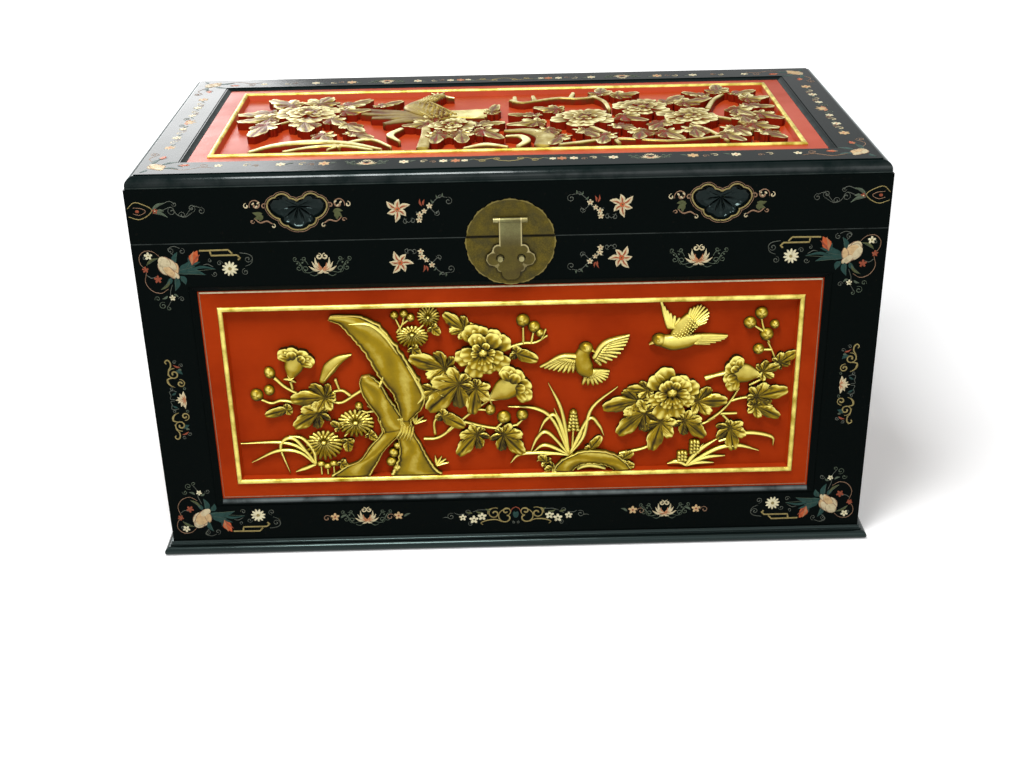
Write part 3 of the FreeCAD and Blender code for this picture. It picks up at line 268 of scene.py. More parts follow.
# Carved forms
@dataclass
class Carver:
    """Cuts relief forms on the ground of a face: each stands on upright walls and is closed underneath."""

    plane: Plane
    ground: float
    seed: int
    wall: float = WALL
    steep: float = 1.0
    shells: Shells = field(default_factory=Shells)

    def __post_init__(self) -> None:
        """Set up the chisel's own small irregularity, the same on every run."""
        self.chance = np.random.default_rng(self.seed)

    def raised(self, height: Array | float) -> Array | float:
        """Heights over the common wall, carried over to this carver's wall and steepness."""
        return self.wall + self.steep * (height - WALL)

    def stack(self, flat: Array, height: Array, tone: Array, top: Array, peak: float) -> None:
        """Close a dome: rings of growing size, then an upright wall to the ground and a flat underneath.

        Args:
            flat: Ring points on the face as (ring, place, 2).
            height: Height of each over the ground.
            tone: Tone of each.
            top: Middle of the dome on the face.
            peak: Height of the middle.
        """
        height = np.maximum(self.raised(height), self.wall)
        height = np.concatenate([height, height[-1:] - 0.4, np.full_like(height[-1:], SUNK)])
        flat = np.concatenate([flat, flat[-1:], top + (flat[-1:] - top) * 0.985])
        # walls and underside get tone 0: the ground coat's colour, on the front's dark walls also painted
        # shade
        tone = np.concatenate([tone, np.zeros((2, tone.shape[1]))])
        ends = [(*top, self.ground + self.raised(peak)), (*top, self.ground + SUNK)]
        self.shells.add(flat, self.ground + height, ends, tone)

    def limb(
            self, path: Line, widths: Sequence[float], heights: Sequence[float], crest: float = 0.55,
            steps: int = 18, samples: int = 7, shine: float = 1.0) -> None:
        """Carry a section along a path: half width times cosine across, and over the walls a height times a
        power of sine.

        Args:
            path: Points on the face.
            widths: Full widths along the path.
            heights: Heights along the path.
            crest: Power of the sine, small for steep sides and a flat back.
            steps: Samples along the path.
            samples: Samples over the section.
            shine: Tone of the crest.
        """
        line = smooth_path(path, steps)
        angle = np.linspace(0, math.pi, samples)
        back = np.maximum(np.sin(angle), 0) ** crest
        way = unit(np.gradient(line, axis=0))
        half, rise = spread(widths, steps)[:, None] / 2, self.raised(spread(heights, steps)[:, None])
        wall = np.minimum(self.wall, 0.75 * rise)
        edge = np.full((steps, 1), SUNK)
        height = np.concatenate([edge, wall + (rise - wall) * back, edge, edge], axis=1)
        across = half * np.concatenate([[1.0], np.cos(angle), [-1.0, 0.0]])
        flat = line[:, None] + right_of(way)[:, None] * across[..., None]
        # tone: a painted highlight along the crest, falling to 0 as painted shade at the edges
        tone = np.concatenate([[0.0], shine * (0.2 + 0.8 * back ** 0.8), [0.0, 0.0]])
        tips = line[[0, -1]] + way[[0, -1]] * half[[0, -1]] * [[-0.4], [0.4]]
        ends = np.column_stack([tips, self.ground + 0.3 * rise[[0, -1]]])
        self.shells.add(flat, self.ground + height, ends, tone)

    def slab(
            self, left: Line, right: Line, heights: Sequence[float], steps: int = 30,
            jag: float = 0.8) -> None:
        """Fill between two edges, drawn in the direction that has left on the left hand: a broad smooth back
        with streaks of painted highlight, a groove in painted shade and a rim with a painted highlight along
        each edge, and edges broken by chance.

        Args:
            left: Left edge.
            right: Right edge.
            heights: Heights along the slab.
            steps: Samples along the slab.
            jag: How far the edges break, in millimetres.
        """
        cosine = np.concatenate([[1.0], np.cos(np.linspace(0, math.pi, 17)), [-1.0, 0.0]])
        low, high = smooth_path(left, steps), smooth_path(right, steps)
        out = unit(high - low)
        rough = jag * np.maximum(self.chance.standard_normal((2, steps, 1)), -0.4)
        low, high = low - out * rough[0], high + out * rough[1]
        middle, arm = (low + high) / 2, (high - low) / 2
        place = np.abs(cosine)
        stops = (0.0, 0.55, 0.71, 0.84, 0.93, 0.99, 1.0)
        back = np.interp(place, stops, (1.0, 0.94, 0.86, 0.80, 1.0, 0.86, 0.6))
        # tone across the slab: painted shade in the groove and at the foot, a painted highlight on the rim
        shine = np.interp(place, stops, (0.60, 0.56, 0.46, 0.1, 0.98, 0.6, 0.2))
        along = np.linspace(0, 1, steps)[:, None]
        highlight_streak = 0.17 * np.sin(5 * cosine + 2.5 * np.sin(8 * along)) * (place < 0.8)
        wave = 1 + 0.03 * np.sin(9 * along) * np.cos(3 * cosine)
        height = spread(heights, steps)[:, None] * back * wave
        height[:, [0, -2, -1]] = SUNK
        shine[[0, -2, -1]] = 0.0
        ends = [(*middle[i], self.ground + 0.5 * heights[i]) for i in (0, -1)]
        flat = middle[:, None] + arm[:, None] * cosine[None, :, None]
        self.shells.add(flat, self.ground + height, ends, np.clip(shine * (1 + highlight_streak), 0, 1))

    def bud(
            self, at: Point, size: Point, height: float = 7.0, angle: float = 0.0, seams: int = 3,
            shine: float = 0.84, grid: tuple[int, int] = (6, 20)) -> None:
        """A round bud: a dome of elliptic rings, height falling as the root of one less the radius squared,
        creased along its seams.

        Args:
            at: Middle on the face.
            size: Half width and half length.
            height: Height of the crown.
            angle: Turn against the clock, in degrees.
            seams: Number of creases.
            shine: Tone of the crown.
            grid: Rings, and places on a ring.
        """
        radius, turn = np.linspace(0.2, 1, grid[0])[:, None], once_round(grid[1])
        crease = np.abs(np.cos(seams * turn / 2 + 0.4)) ** 0.4
        dome = height * (0.35 + 0.65 * np.sqrt(np.maximum(1 - radius ** 2, 0))) * (0.9 + 0.1 * crease)
        # tone: a painted highlight on the crown, painted shade towards the rim and in the creases
        tone = np.clip((shine - 0.6 * radius ** 2) * (0.35 + 0.65 * crease), 0.05, 1)
        flat = radius[..., None] * heading(turn) * size
        self.stack(turned(flat, math.radians(angle)) + at, dome, tone, np.array(at), height)

    def buds(self, rows: Sequence[Point], height: float, angle: float = 0.0, seams: int = 3) -> None:
        """Buds given by their middle, half width and half length, or by their middle and radius."""
        for x, y, *size in rows:
            self.bud((x, y), (size[0], size[-1]), height, angle, seams)

    def leaf(
            self, base: Point, tip: Point, width: float, lobes: int = 2, height: float = 6.5,
            tilt: float = 0.0, notch: float = 0.44) -> None:
        """A lobed leaf: polar rings about a hub near the base. The reach is an ellipse's less a cube of the
        place in the lobe and less the place itself, so that lobes are pointed and the cuts sharp, with teeth
        along each; every lobe swells, turns like a fan's blade and has a groove for its vein.

        Args:
            base: Where the stalk meets the leaf.
            tip: Tip of the middle lobe.
            width: Width over the side lobes.
            lobes: Lobes on each side.
            height: Height of the hub.
            tilt: How far the left side stands over the right.
            notch: Depth of the cuts between lobes.
        """
        way = np.subtract(tip, base)
        length = float(np.linalg.norm(way))
        hub = base + way * 0.25
        step = math.radians(112) / lobes
        turn = once_round(76, -math.pi)
        reach = np.where(np.abs(turn) < math.pi / 2, 0.78 * length, 0.27 * length)
        envelope = 1 / np.sqrt((np.cos(turn) / reach) ** 2 + (np.sin(turn) * 2 / width) ** 2)
        away = (turn - step * np.round(turn / step)) * 2 / step
        share = np.abs(away)
        teeth = 0.08 * np.abs(np.sin(2 * math.pi * share))
        cuts = notch * (0.62 * share + 0.38 * share ** 5)
        radius = np.linspace(0.12, 1, 8)[:, None]
        spoke = radius * envelope * (1.06 - 0.14 * np.abs(turn) / math.pi - cuts + teeth)
        across = spoke * np.sin(away * step / 2)
        vein = np.exp(-(across / 0.8) ** 2) * np.clip(2.2 * radius, 0.3, 1)
        ribs = np.cos(1.5 * (spoke - 1.2 * np.abs(across)))
        swell = 1 - share ** 2
        hand = 1.0 if tilt < 0 else -1.0
        dome = height * (1 - 0.3 * radius ** 2) + (1.8 * swell + 1.3 * hand * away) * radius - 1.0 * vein
        dome = dome + 0.2 * ribs + 2.5 * tilt * radius * np.sin(turn)
        # tone is painted light and shade: one side of each lobe and of a tilted leaf lighter, the other
        # darker, painted highlights on the swell, ribs and rim, painted shade in the vein
        tone = 0.34 + (0.2 * swell + 0.36 * hand * away + 0.3 * tilt * np.sin(turn)) * radius
        tone = np.clip(tone + 0.46 * radius ** 8 - 0.5 * vein + 0.15 * ribs, 0.05, 1)
        flat = turned(spoke[..., None] * heading(turn), math.atan2(way[1], way[0]))
        self.stack(flat + hub, dome, tone, hub, height)

    def leaves(self, rows: Sequence[Point], lobes: int = 2, height: float = 7.0, tilt: float = 0.0) -> None:
        """Leaves given by base, tip and width, with one tilt for all or each with its own."""
        for x, y, tip_x, tip_y, width, *own in rows:
            self.leaf((x, y), (tip_x, tip_y), width, lobes, height, *(own or (tilt,)))

    def petal(
            self, root: Point, angle: float, length: float, width: float, low: float, high: float,
            cup: float = 2.0, waves: int = 7) -> None:
        """A ruffled petal: egg-shaped rings about its middle that rise from the root as a sine, roll over at
        the lip and are scalloped along it.

        Args:
            root: Where it leaves the flower.
            angle: Direction in radians.
            length: Length from root to lip.
            width: Greatest width.
            low: Height at the root.
            high: Height at the lip.
            cup: How far the lip stands over the hollow.
            waves: Scallops round the edge.
        """
        radius, turn = np.linspace(0.16, 1, 7)[:, None], once_round(34)
        lip = np.clip(np.cos(turn), 0, 1) ** 0.5
        wave = np.abs(np.cos(waves * turn / 2))
        edge = 1 + lip * (0.16 * wave - 0.08)
        along = radius * np.cos(turn) * edge
        across = radius * np.sin(turn) * edge * (0.78 + 0.22 * np.cos(turn))
        flat = np.stack([(along + 1) * length / 2, across * width / 2], axis=-1)
        share = (along + 1) / 2
        hollow = 0.5 * radius ** 2.5 * (1 - lip) - 0.25
        rise = low + (high - low) * 1.15 * np.sin(2.0 * share) + cup * hollow
        rise = rise + lip * (0.7 * radius ** 3 * wave - 0.6 * cup * radius ** 6) + 0.25 * np.cos(9 * across)
        # tone: painted shade at the root, a painted highlight on the scalloped lip
        tone = 0.12 + 0.74 * share + 0.34 * lip * radius ** 4 * wave + 0.1 * np.cos(9 * across)
        peak = low + (high - low) * 0.97 - cup * 0.25
        middle = root + heading(angle) * length / 2
        self.stack(turned(flat, angle) + root, rise, np.clip(tone, 0, 1), middle, peak)

    def whorl(
            self, at: Point, radii: Point, count: int, size: Point, heights: Point, turn: float = 0.0,
            cup: float = 2.0) -> None:
        """A ring of petals about a flower's middle.

        Args:
            at: Middle of the flower.
            radii: Half width and half height of the ellipse on which petals take root.
            count: Number of petals.
            size: Length and width of a petal.
            heights: Heights at root and lip.
            turn: Turn of the first petal in radians.
            cup: Hollow of the petals.
        """
        for petal in range(count):
            angle = turn + 2 * math.pi * petal / count + 0.18 * self.chance.standard_normal()
            scale = 1 + 0.13 * float(np.clip(self.chance.standard_normal(), -1.5, 1.5))
            self.petal(at + heading(angle) * radii, angle, size[0] * scale, size[1] * scale, *heights, cup)

    def peony(self, at: Point, size: Point, ball: float, drop: float = 0.0) -> None:
        """A full peony: two whorls of broad ruffled petals round a ball of small ones.

        Args:
            at: Middle of the flower.
            size: Half width and half height.
            ball: Radius of the ball.
            drop: How far the ball sits under the middle.
        """
        wide, tall = size
        mean = (wide + tall) / 2
        self.whorl(at, (0.36 * wide, 0.36 * tall), 8, (0.66 * mean, 0.78 * mean), (4.0, 7.6), 0.2, 2.4)
        self.whorl(at, (0.16 * wide, 0.16 * tall), 7, (0.56 * mean, 0.62 * mean), (6.2, 9.6), 0.6)
        heart = (at[0], at[1] - drop)
        self.whorl(heart, (0.36 * ball, 0.36 * ball), 6, (0.8 * ball, 0.86 * ball), (8.6, 11.0), 0.1, 1.6)
        self.bud(heart, (0.52 * ball, 0.46 * ball), 12.0, 20, 5)

    def aster(self, at: Point, size: Point, count: int = 20, droop: float = 0.0) -> None:
        """A chrysanthemum: two tiers of narrow round-backed petals, the second shorter and higher, and a
        button.

        Args:
            at: Middle of the flower.
            size: Half width and half height.
            count: Petals in the outer tier.
            droop: How far the button stands over the middle, as a share of the half height.
        """
        top = (at[0], at[1] + droop * size[1])
        for tier in range(2):
            reach, number, lift = 1 - 0.3 * tier, count - 4 * tier, 2 * tier
            width = 1.3 * reach * size[0] * math.pi / number
            for petal in range(number):
                way = heading(2 * math.pi * (petal + 0.5 * tier) / number) * size
                near, far = top + 0.2 * way, at + reach * way
                self.limb(
                    [near, (near + far) / 2 + (0, 0.05 * size[1]), far], [width * 0.4, width, width * 0.9],
                    [5 + lift, 6.5 + lift, 4 + lift], 0.9, 6, 5, 0.66)
        self.bud(top, (0.2 * size[0], 0.18 * size[1]), 10.5, 0, 6)

    def trumpet(self, calyx: Point, mouth: Point, radius: float) -> None:
        """A blossom from the side: ruffled petals that fan behind a swelling throat, shorter ones folded
        over its mouth, and sepals at its foot.

        Args:
            calyx: Foot of the throat.
            mouth: Middle of the mouth.
            radius: Half width of the mouth.
        """
        foot, end = np.array(calyx), np.array(mouth)
        way = unit(end - foot)
        side = -right_of(way) * radius
        angle = math.atan2(way[1], way[0])
        for turn, reach in ((-1.25, 0.95), (1.25, 0.95), (-0.5, 0.86), (0.5, 0.86)):
            root = end + side * 0.25 * math.sin(turn)
            self.petal(root, angle + turn, radius * reach, radius * 1.05, 6.5, 9.8, 1.6, 5)
        self.limb(
            [foot, (foot + end) / 2, end + way * radius * 0.2], [6, radius * 1.1, radius * 1.45],
            [6, 9.5, 9.0], 0.6, 16, 13, 0.7)
        for turn, reach, width in ((-1.5, 0.72, 0.6), (1.5, 0.72, 0.6), (0.5, 0.62, 0.8), (-0.6, 0.5, 0.7)):
            root = end + side * 0.3 * math.sin(turn)
            self.petal(root, angle + turn, radius * reach, radius * width, 8.8, 11.2, 1.4, 3)
        for turn in (-1.9, -0.75, 0.75, 1.9):
            tip = foot + heading(angle + turn) * radius * 0.42
            self.limb([foot, tip], [3.5, 3.5, 0.8], [8.5, 5.0], 0.6, 6, 5)
        self.bud(foot, (3.4, 3.4), 8.0)

    def blades(self, root: Point, lines: Sequence[Line], width: float = 4.5, height: float = 5.0) -> None:
        """Grass blades from one root: tapering limbs with a ridged back.

        Args:
            root: Foot of all blades.
            lines: The further points of each blade.
            width: Greatest width.
            height: Height over the ground.
        """
        widths, heights = [width * 0.7, width, width * 0.9, 0.8], [height, height * 1.1, height * 0.6]
        for line in lines:
            self.limb([root, *line], widths, heights, 0.9, 20, 5)

    def stems(self, lines: Sequence[Line], width: float = 3.4, height: float = 4.2) -> None:
        """Round stems, a little thinner towards their ends."""
        for line in lines:
            self.limb(
                line, [width, 0.85 * width, 0.7 * width], [height, height, height * 0.9], 0.6, 14, 7, 0.8)

    def wing(self, arm: Line, tips: Line, count: int, width: float, heights: Point) -> None:
        """A wing: long feathers from along the arm to along the tips, and two shorter rows over their roots.

        Args:
            arm: Line along which feathers take root.
            tips: Line along which they end.
            count: Feathers in the long row.
            width: Width of a feather.
            heights: Heights of the first and the last feather.
        """
        near, far = smooth_path(arm, count), smooth_path(tips, count)
        rise = np.linspace(*heights, count)
        for reach, lift in ((1.0, 0.0), (0.62, 1.0), (0.34, 2.0)):
            for start, end, level in zip(near, near + (far - near) * reach, rise + lift):
                self.limb(
                    [start, (start + end) / 2, end], [width * 0.8, width, width * 0.55],
                    [level, level, level * 0.8], 0.8, 7, 5, 0.92)

    def scales(self, root: Point, tip: Point, width: float, rows: int, height: float) -> None:
        """Rows of small overlapping scales that clothe a wing or a body.

        Args:
            root: Middle of the first row's edge.
            tip: Middle of the last row's edge.
            width: Width of a row.
            rows: Number of rows.
            height: Height of the middle scales.
        """
        way = np.subtract(tip, root)
        side = -right_of(unit(way)) * width
        size = 0.8 * float(np.linalg.norm(way)) / rows
        angle = math.degrees(math.atan2(way[1], way[0]))
        for row in range(rows):
            for place in np.linspace(-0.5, 0.5, 5 + row % 2):
                at = root + way * (row + 0.5) / rows + side * place
                self.bud(at, (size, size * 0.75), height - 6 * place ** 2, angle, 1, 0.74, (3, 8))


@dataclass
class FrontCarving(Carver):
    """Old tree, peonies, chrysanthemums, orchid grass and two birds, drawn over the body's lower edge."""

    seed: int = 11

    def build(self) -> Object:
        """Carve the whole field.

        Returns:
            The relief.
        """
        for part in (
                self.tree, self.left_spray, self.tree_asters, self.left_orchid, self.middle_peony,
                self.middle_sprays, self.middle_orchid, self.birds, self.right_peony,
                self.right_sprays, self.right_grass):
            part()
        item = self.shells.piece("front_relief", self.plane, "chest", "gilt_wood", 0.85)
        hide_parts("front_carving")
        return item

    def tree(self) -> None:
        """A leaning hollow trunk on two legs, with a stump, curled roots and moss."""
        self.slab(
            [(-264, 97), (-242, 112), (-221, 122), (-205, 145), (-188, 165), (-190, 186)],
            [(-207, 97), (-196, 116), (-186, 136), (-168, 156), (-150, 172), (-140, 190)], [8, 9, 9.5, 9],
            40)
        self.slab(
            [(-178, 97), (-169, 115), (-164, 135), (-165, 155), (-170, 182)],
            [(-105, 97), (-117, 112), (-130, 140), (-141, 165), (-146, 196)], [8, 9, 9.5, 9], 36)
        self.slab(
            [(-184, 166), (-193, 195), (-206, 216), (-214, 240), (-211, 254)],
            [(-150, 172), (-162, 200), (-176, 225), (-184, 243), (-199, 256)], [10, 10, 9.5, 9], 34)
        self.slab(
            [(-158, 184), (-163, 208), (-169, 228), (-181, 245), (-192, 266), (-203, 290), (-218, 311),
             (-235, 333), (-250, 341)],
            [(-148, 184), (-128, 204), (-123, 222), (-130, 246), (-145, 276), (-164, 308), (-182, 332),
             (-208, 345), (-246, 347)], [10, 11, 11, 10.5, 10, 9], 60)
        self.limb(
            [(-222, 335), (-196, 334), (-176, 318), (-158, 288)], [2, 5, 6, 2],
            [10, 12.5, 12.5, 11], 0.6, 24)
        self.limb(
            [(-146, 270), (-134, 246), (-126, 224), (-134, 212)], [2, 5, 6, 3],
            [11, 12.5, 12.5, 11], 0.6, 22)
        self.limb([(-186, 238), (-182, 248), (-178, 262)], [4, 5, 1], [10, 11, 8], 0.6, 10)
        for lean in range(5):
            self.limb(
                [(-158 + 4 * lean, 178 - lean), (-160 + 4 * lean, 168 - lean),
                 (-168 + 5 * lean, 156 - lean)], [2, 5, 1], [11, 12, 10], 0.7, 9, 5)
        for root, angles in (
                ((-140, 178), (20, 45, 75, 100)), ((-112, 110), (15, 40, 65, 95)),
                ((-190, 200), (150, 190))):
            for angle in angles:
                tip = root + heading(math.radians(angle)) * (18, 15)
                self.limb([root, tip], [3, 4.5, 1], [7, 6, 5], 0.8, 7, 5)
        self.buds(((-172, 132, 7, 8), (-166, 144, 6), (-176, 118, 8, 7), (-168, 108, 7, 6)), 9, 40)

    def left_spray(self) -> None:
        """A trumpet blossom with buds and leaves on a branch from the stump."""
        self.stems(
            [[(-211, 232), (-222, 225), (-243, 213), (-265, 222)], [(-228, 224), (-238, 232), (-250, 231)],
             [(-265, 222), (-290, 212), (-322, 219), (-338, 215), (-352, 221)],
             [(-331, 254), (-318, 240), (-300, 228), (-285, 216)], [(-309, 248), (-307, 236)],
             [(-247, 250), (-242, 232)], [(-290, 212), (-286, 198)]], 4.2, 6)
        self.trumpet((-309, 252), (-299, 282), 22)
        self.buds(((-337, 262, 7.5, 9), (-358, 228, 9, 9.5), (-340, 235, 7.5, 8)), 8.5, 20)
        self.limb(
            [(-266, 246), (-254, 266), (-240, 279), (-222, 287)], [8, 19, 13, 2],
            [6, 8, 7, 5], 0.7, 18, 9, 0.7)
        self.limb([(-262, 249), (-252, 262), (-240, 276)], [2, 4, 1], [8, 10, 7], 0.6, 12, 5)
        self.leaves(((-248, 224, -306, 222, 44, 0.9), (-262, 206, -306, 180, 42, -0.8)))
        self.leaf((-308, 208), (-346, 198), 18, 1, 6)

    def tree_asters(self) -> None:
        """Chrysanthemums beside the trunk and at its crown."""
        self.leaves(
            ((-244, 172, -256, 184, 17), (-236, 158, -236, 138, 20), (-208, 166, -196, 156, 17),
             (-112, 328, -100, 316, 18), (-140, 298, -128, 284, 18), (-250, 122, -240, 106, 17)), 1, 6)
        self.aster((-223, 180), (25, 21), 20, 0.1)
        self.aster((-270, 146), (25, 23), 20, 0.25)
        self.aster((-114, 341), (15, 15), 18)
        self.aster((-137, 311), (21, 16), 20, 0.3)
        self.stems(
            [[(-158, 318), (-150, 330), (-147, 343)], [(-150, 330), (-139, 338)], [(-152, 322), (-160, 342)],
             [(-128, 322), (-118, 332)], [(-205, 196), (-214, 200)], [(-240, 160), (-232, 168)]], 3, 4.5)
        for at in ((-160, 344), (-147, 346), (-138, 340), (-217, 207)):
            self.bud(at, (5.8, 6.2), 7.5, 0, 4)

    def left_orchid(self) -> None:
        """Long grass blades and three small caps at the left foot."""
        self.blades(
            (-284, 116),
            [[(-300, 140), (-328, 152), (-388, 152)], [(-306, 136), (-336, 139), (-375, 121)],
             [(-312, 158), (-332, 146), (-322, 102)], [(-298, 110), (-314, 104)],
             [(-286, 138), (-300, 158), (-318, 162)]], 5.6, 6)
        for at in ((-277, 116), (-268, 112), (-259, 116)):
            self.stems([[(at[0], 99), (at[0], 112)]], 3, 4)
            self.bud(at, (6, 4.5), 6.5, 0, 5)

    def middle_peony(self) -> None:
        """The large peony right of the tree with its leaves and buds."""
        self.leaf((-58, 314), (-90, 344), 32, 2, 6.5, 0.6)
        self.leaf((-80, 258), (-138, 280), 44, 2, 6.5, 0.9)
        self.leaf((-62, 252), (-116, 204), 64, 2, 8, -0.9)
        self.leaf((-50, 246), (-58, 196), 44, 2, 7, 0.9)
        self.leaf((-100, 238), (-136, 212), 32, 2, 6.5, 0.6)
        self.leaf((-4, 288), (32, 274), 24, 1, 6.5, 0.6)
        self.stems(
            [[(-12, 290), (15, 298), (32, 299), (48, 309)], [(15, 298), (15, 322)], [(26, 299), (29, 314)],
             [(40, 304), (46, 318)], [(-60, 250), (-92, 256)]], 3.8, 5.5)
        self.peony((-41, 288), (40, 39), 15, 2)
        self.buds(((15, 332, 9.5), (30, 322, 8.5), (38, 313, 6)), 8, 15)

    def middle_sprays(self) -> None:
        """A second trumpet blossom, buds and leaves on a long branch from the tree."""
        self.stems(
            [[(-128, 153), (-112, 153), (-98, 160), (-75, 180), (-56, 196), (-33, 213)],
             [(-75, 180), (-45, 171), (-20, 167), (5, 172)], [(-52, 198), (-36, 196)],
             [(-24, 168), (-15, 178)], [(4, 171), (12, 180)], [(-112, 160), (-112, 180), (-100, 194)],
             [(-94, 164), (-84, 176)]], 4, 5.5)
        self.trumpet((-33, 214), (0, 236), 27)
        self.buds(((-33, 197, 7.5, 9), (-14, 184, 10), (12, 187, 8.5)), 8)
        self.leaves(((-24, 168, 10, 130, 46, 0.8), (-44, 170, -78, 130, 40, -0.8)))
        self.leaf((-110, 196), (-72, 174), 24, 1, 6.5, 0.8)

    def middle_orchid(self) -> None:
        """Orchid grass with a seed head behind a low rock."""
        self.blades(
            (78, 122),
            [[(68, 190), (49, 236)], [(55, 178), (30, 197), (-8, 201)], [(68, 165), (57, 196)],
             [(60, 183), (45, 178), (35, 158)], [(48, 158), (33, 150), (22, 124)], [(45, 138), (27, 128)],
             [(40, 126), (8, 124), (-6, 110)], [(48, 124), (32, 112)], [(98, 150), (110, 195), (146, 228)],
             [(105, 178), (120, 168), (128, 150)], [(92, 150), (100, 172)]], 5.6, 6)
        self.stems([[(82, 122), (84, 165)]], 4, 5)
        for row in range(6):
            for side in (-1, 0, 1):
                drop = 1.5 * abs(side)
                at = (84 + side * (6.2 - 0.9 * row), 163 + 5.6 * row - drop)
                self.bud(at, (3.8, 3.6), 7 + 0.5 * row - drop)
        self.leaves(
            ((48, 108, 36, 122, 18), (58, 104, 44, 98, 18), (150, 112, 168, 124, 18),
             (104, 126, 122, 150, 18), (150, 106, 170, 102, 18)), 1, 6, 0.6)
        self.slab(
            [(54, 97), (64, 112), (84, 124), (106, 130), (134, 126), (156, 112), (168, 97)],
            [(84, 97), (90, 104), (100, 108), (110, 109), (122, 107), (134, 103), (142, 97)],
            [8, 9, 10, 9, 8], 40)
        self.limb([(90, 98), (100, 104), (114, 104), (130, 98)], [4, 8, 8, 4], [6, 8, 8, 6], 0.7, 16)

    def birds(self) -> None:
        """Two birds in flight, wings spread."""
        self.wing(
            [(110, 254), (104, 252)], [(134, 252), (130, 240), (116, 232), (97, 233)], 9, 6.5, (5, 6.5))
        self.wing([(70, 276), (88, 272)], [(38, 261), (54, 256), (72, 252), (90, 252)], 9, 6.5, (5, 7))
        self.wing(
            [(130, 298), (114, 272)], [(161, 306), (156, 292), (144, 274), (122, 262)], 10, 6.5, (5, 7))
        self.limb([(90, 277), (66, 277), (40, 262)], [6, 5, 1], [9, 8, 5], 0.6, 14)
        self.limb([(112, 274), (127, 296), (160, 307)], [6, 6, 1], [9, 9, 5], 0.6, 14)
        self.limb(
            [(108, 248), (100, 258), (96, 274), (100, 288)], [14, 25, 23, 15],
            [8, 11, 11.5, 11], 0.6, 20, 13, 0.62)
        self.bud((101, 289), (10, 9), 12, 0, 1)
        self.limb([(107, 288), (114, 282)], [5.5, 0.8], [10, 6], 0.8, 6, 5)
        self.wing([(250, 304), (250, 294)], [(296, 302), (290, 297), (272, 291)], 6, 6.5, (6, 7.5))
        self.wing([(214, 316), (222, 316)], [(203, 356), (210, 344), (218, 336), (229, 330)], 6, 6.5, (5, 6))
        self.wing(
            [(240, 326), (248, 318)], [(244, 344), (258, 349), (269, 338), (266, 324)], 10, 5.5, (6.5, 7.5))
        self.limb([(222, 300), (232, 314), (246, 330)], [14, 25, 20], [9, 10, 9], 0.5, 16, 11, 0.7)
        self.scales((226, 302), (250, 328), 17, 9, 11)
        self.limb(
            [(202, 298), (220, 295), (240, 297), (258, 301)], [15, 24, 22, 9],
            [11, 12, 11, 8], 0.6, 20, 13, 0.75)
        self.bud((202, 299), (10.5, 9.5), 12.5, 0, 1)
        self.limb([(196, 297), (188, 292)], [6, 0.8], [10, 6], 0.8, 6, 5)
        self.buds(((104, 291, 2), (199, 301, 2)), 13.4, 0, 1)

    def right_peony(self) -> None:
        """The right peony among leaves."""
        self.leaves((
            (190, 210, 130, 198, 42, 0.8), (196, 222, 162, 226, 26, 0.8), (196, 198, 150, 158, 50, -0.8),
            (212, 186, 196, 132, 46, 0.8), (246, 204, 296, 204, 44, -0.8), (232, 182, 268, 150, 40, 0.8)))
        self.stems(
            [[(150, 122), (188, 131), (206, 150), (216, 178)], [(222, 170), (262, 166), (284, 176)]], 4, 5.5)
        self.peony((222, 216), (39, 36), 17, -2)

    def right_sprays(self) -> None:
        """A third trumpet blossom, leaves and berries up the right edge."""
        self.stems(
            [[(275, 172), (290, 183), (304, 200), (316, 222)], [(292, 182), (315, 182)],
             [(295, 180), (308, 166)], [(306, 202), (320, 206), (338, 206), (365, 192)],
             [(330, 226), (350, 238), (364, 256), (362, 270), (352, 292)], [(358, 280), (346, 280)],
             [(354, 290), (345, 312), (341, 328)], [(347, 306), (330, 318)]], 3.8, 5.5)
        self.leaves(
            ((362, 256, 391, 276, 26, 0.6), (328, 206, 380, 218, 40, 0.8), (330, 200, 372, 178, 30, -0.8),
             (304, 172, 312, 128, 44, 0.8), (340, 244, 368, 256, 30, -0.6)), 2, 6.5)
        self.limb([(268, 238), (280, 242), (296, 246)], [7, 4, 6], [7, 7, 8], 0.6, 12)
        self.trumpet((344, 242), (312, 246), 23)
        self.buds(((341, 335, 9), (326, 321, 9), (350, 303, 9.5), (340, 281, 8), (360, 318, 6.5)), 8.5, 0, 4)

    def right_grass(self) -> None:
        """A tuft of grass with two seed heads at the right foot."""
        self.blades(
            (246, 100),
            [[(262, 122), (291, 143)], [(290, 126), (320, 130), (350, 121)], [(272, 112), (302, 114)],
             [(262, 104), (286, 103)], [(234, 106), (219, 103)], [(256, 116), (270, 134)]], 7, 6)
        self.blades((292, 138), [[(330, 150), (366, 143), (370, 128)]], 5.5, 5.5)
        for x, y, rows in ((257, 122, 4), (240, 110, 3)):
            for row in range(rows):
                for side in (-1, 0, 1):
                    self.bud((x + side * 4.5, y + 5.5 * row - abs(side)), (3.6, 4), 7 + 0.4 * row)


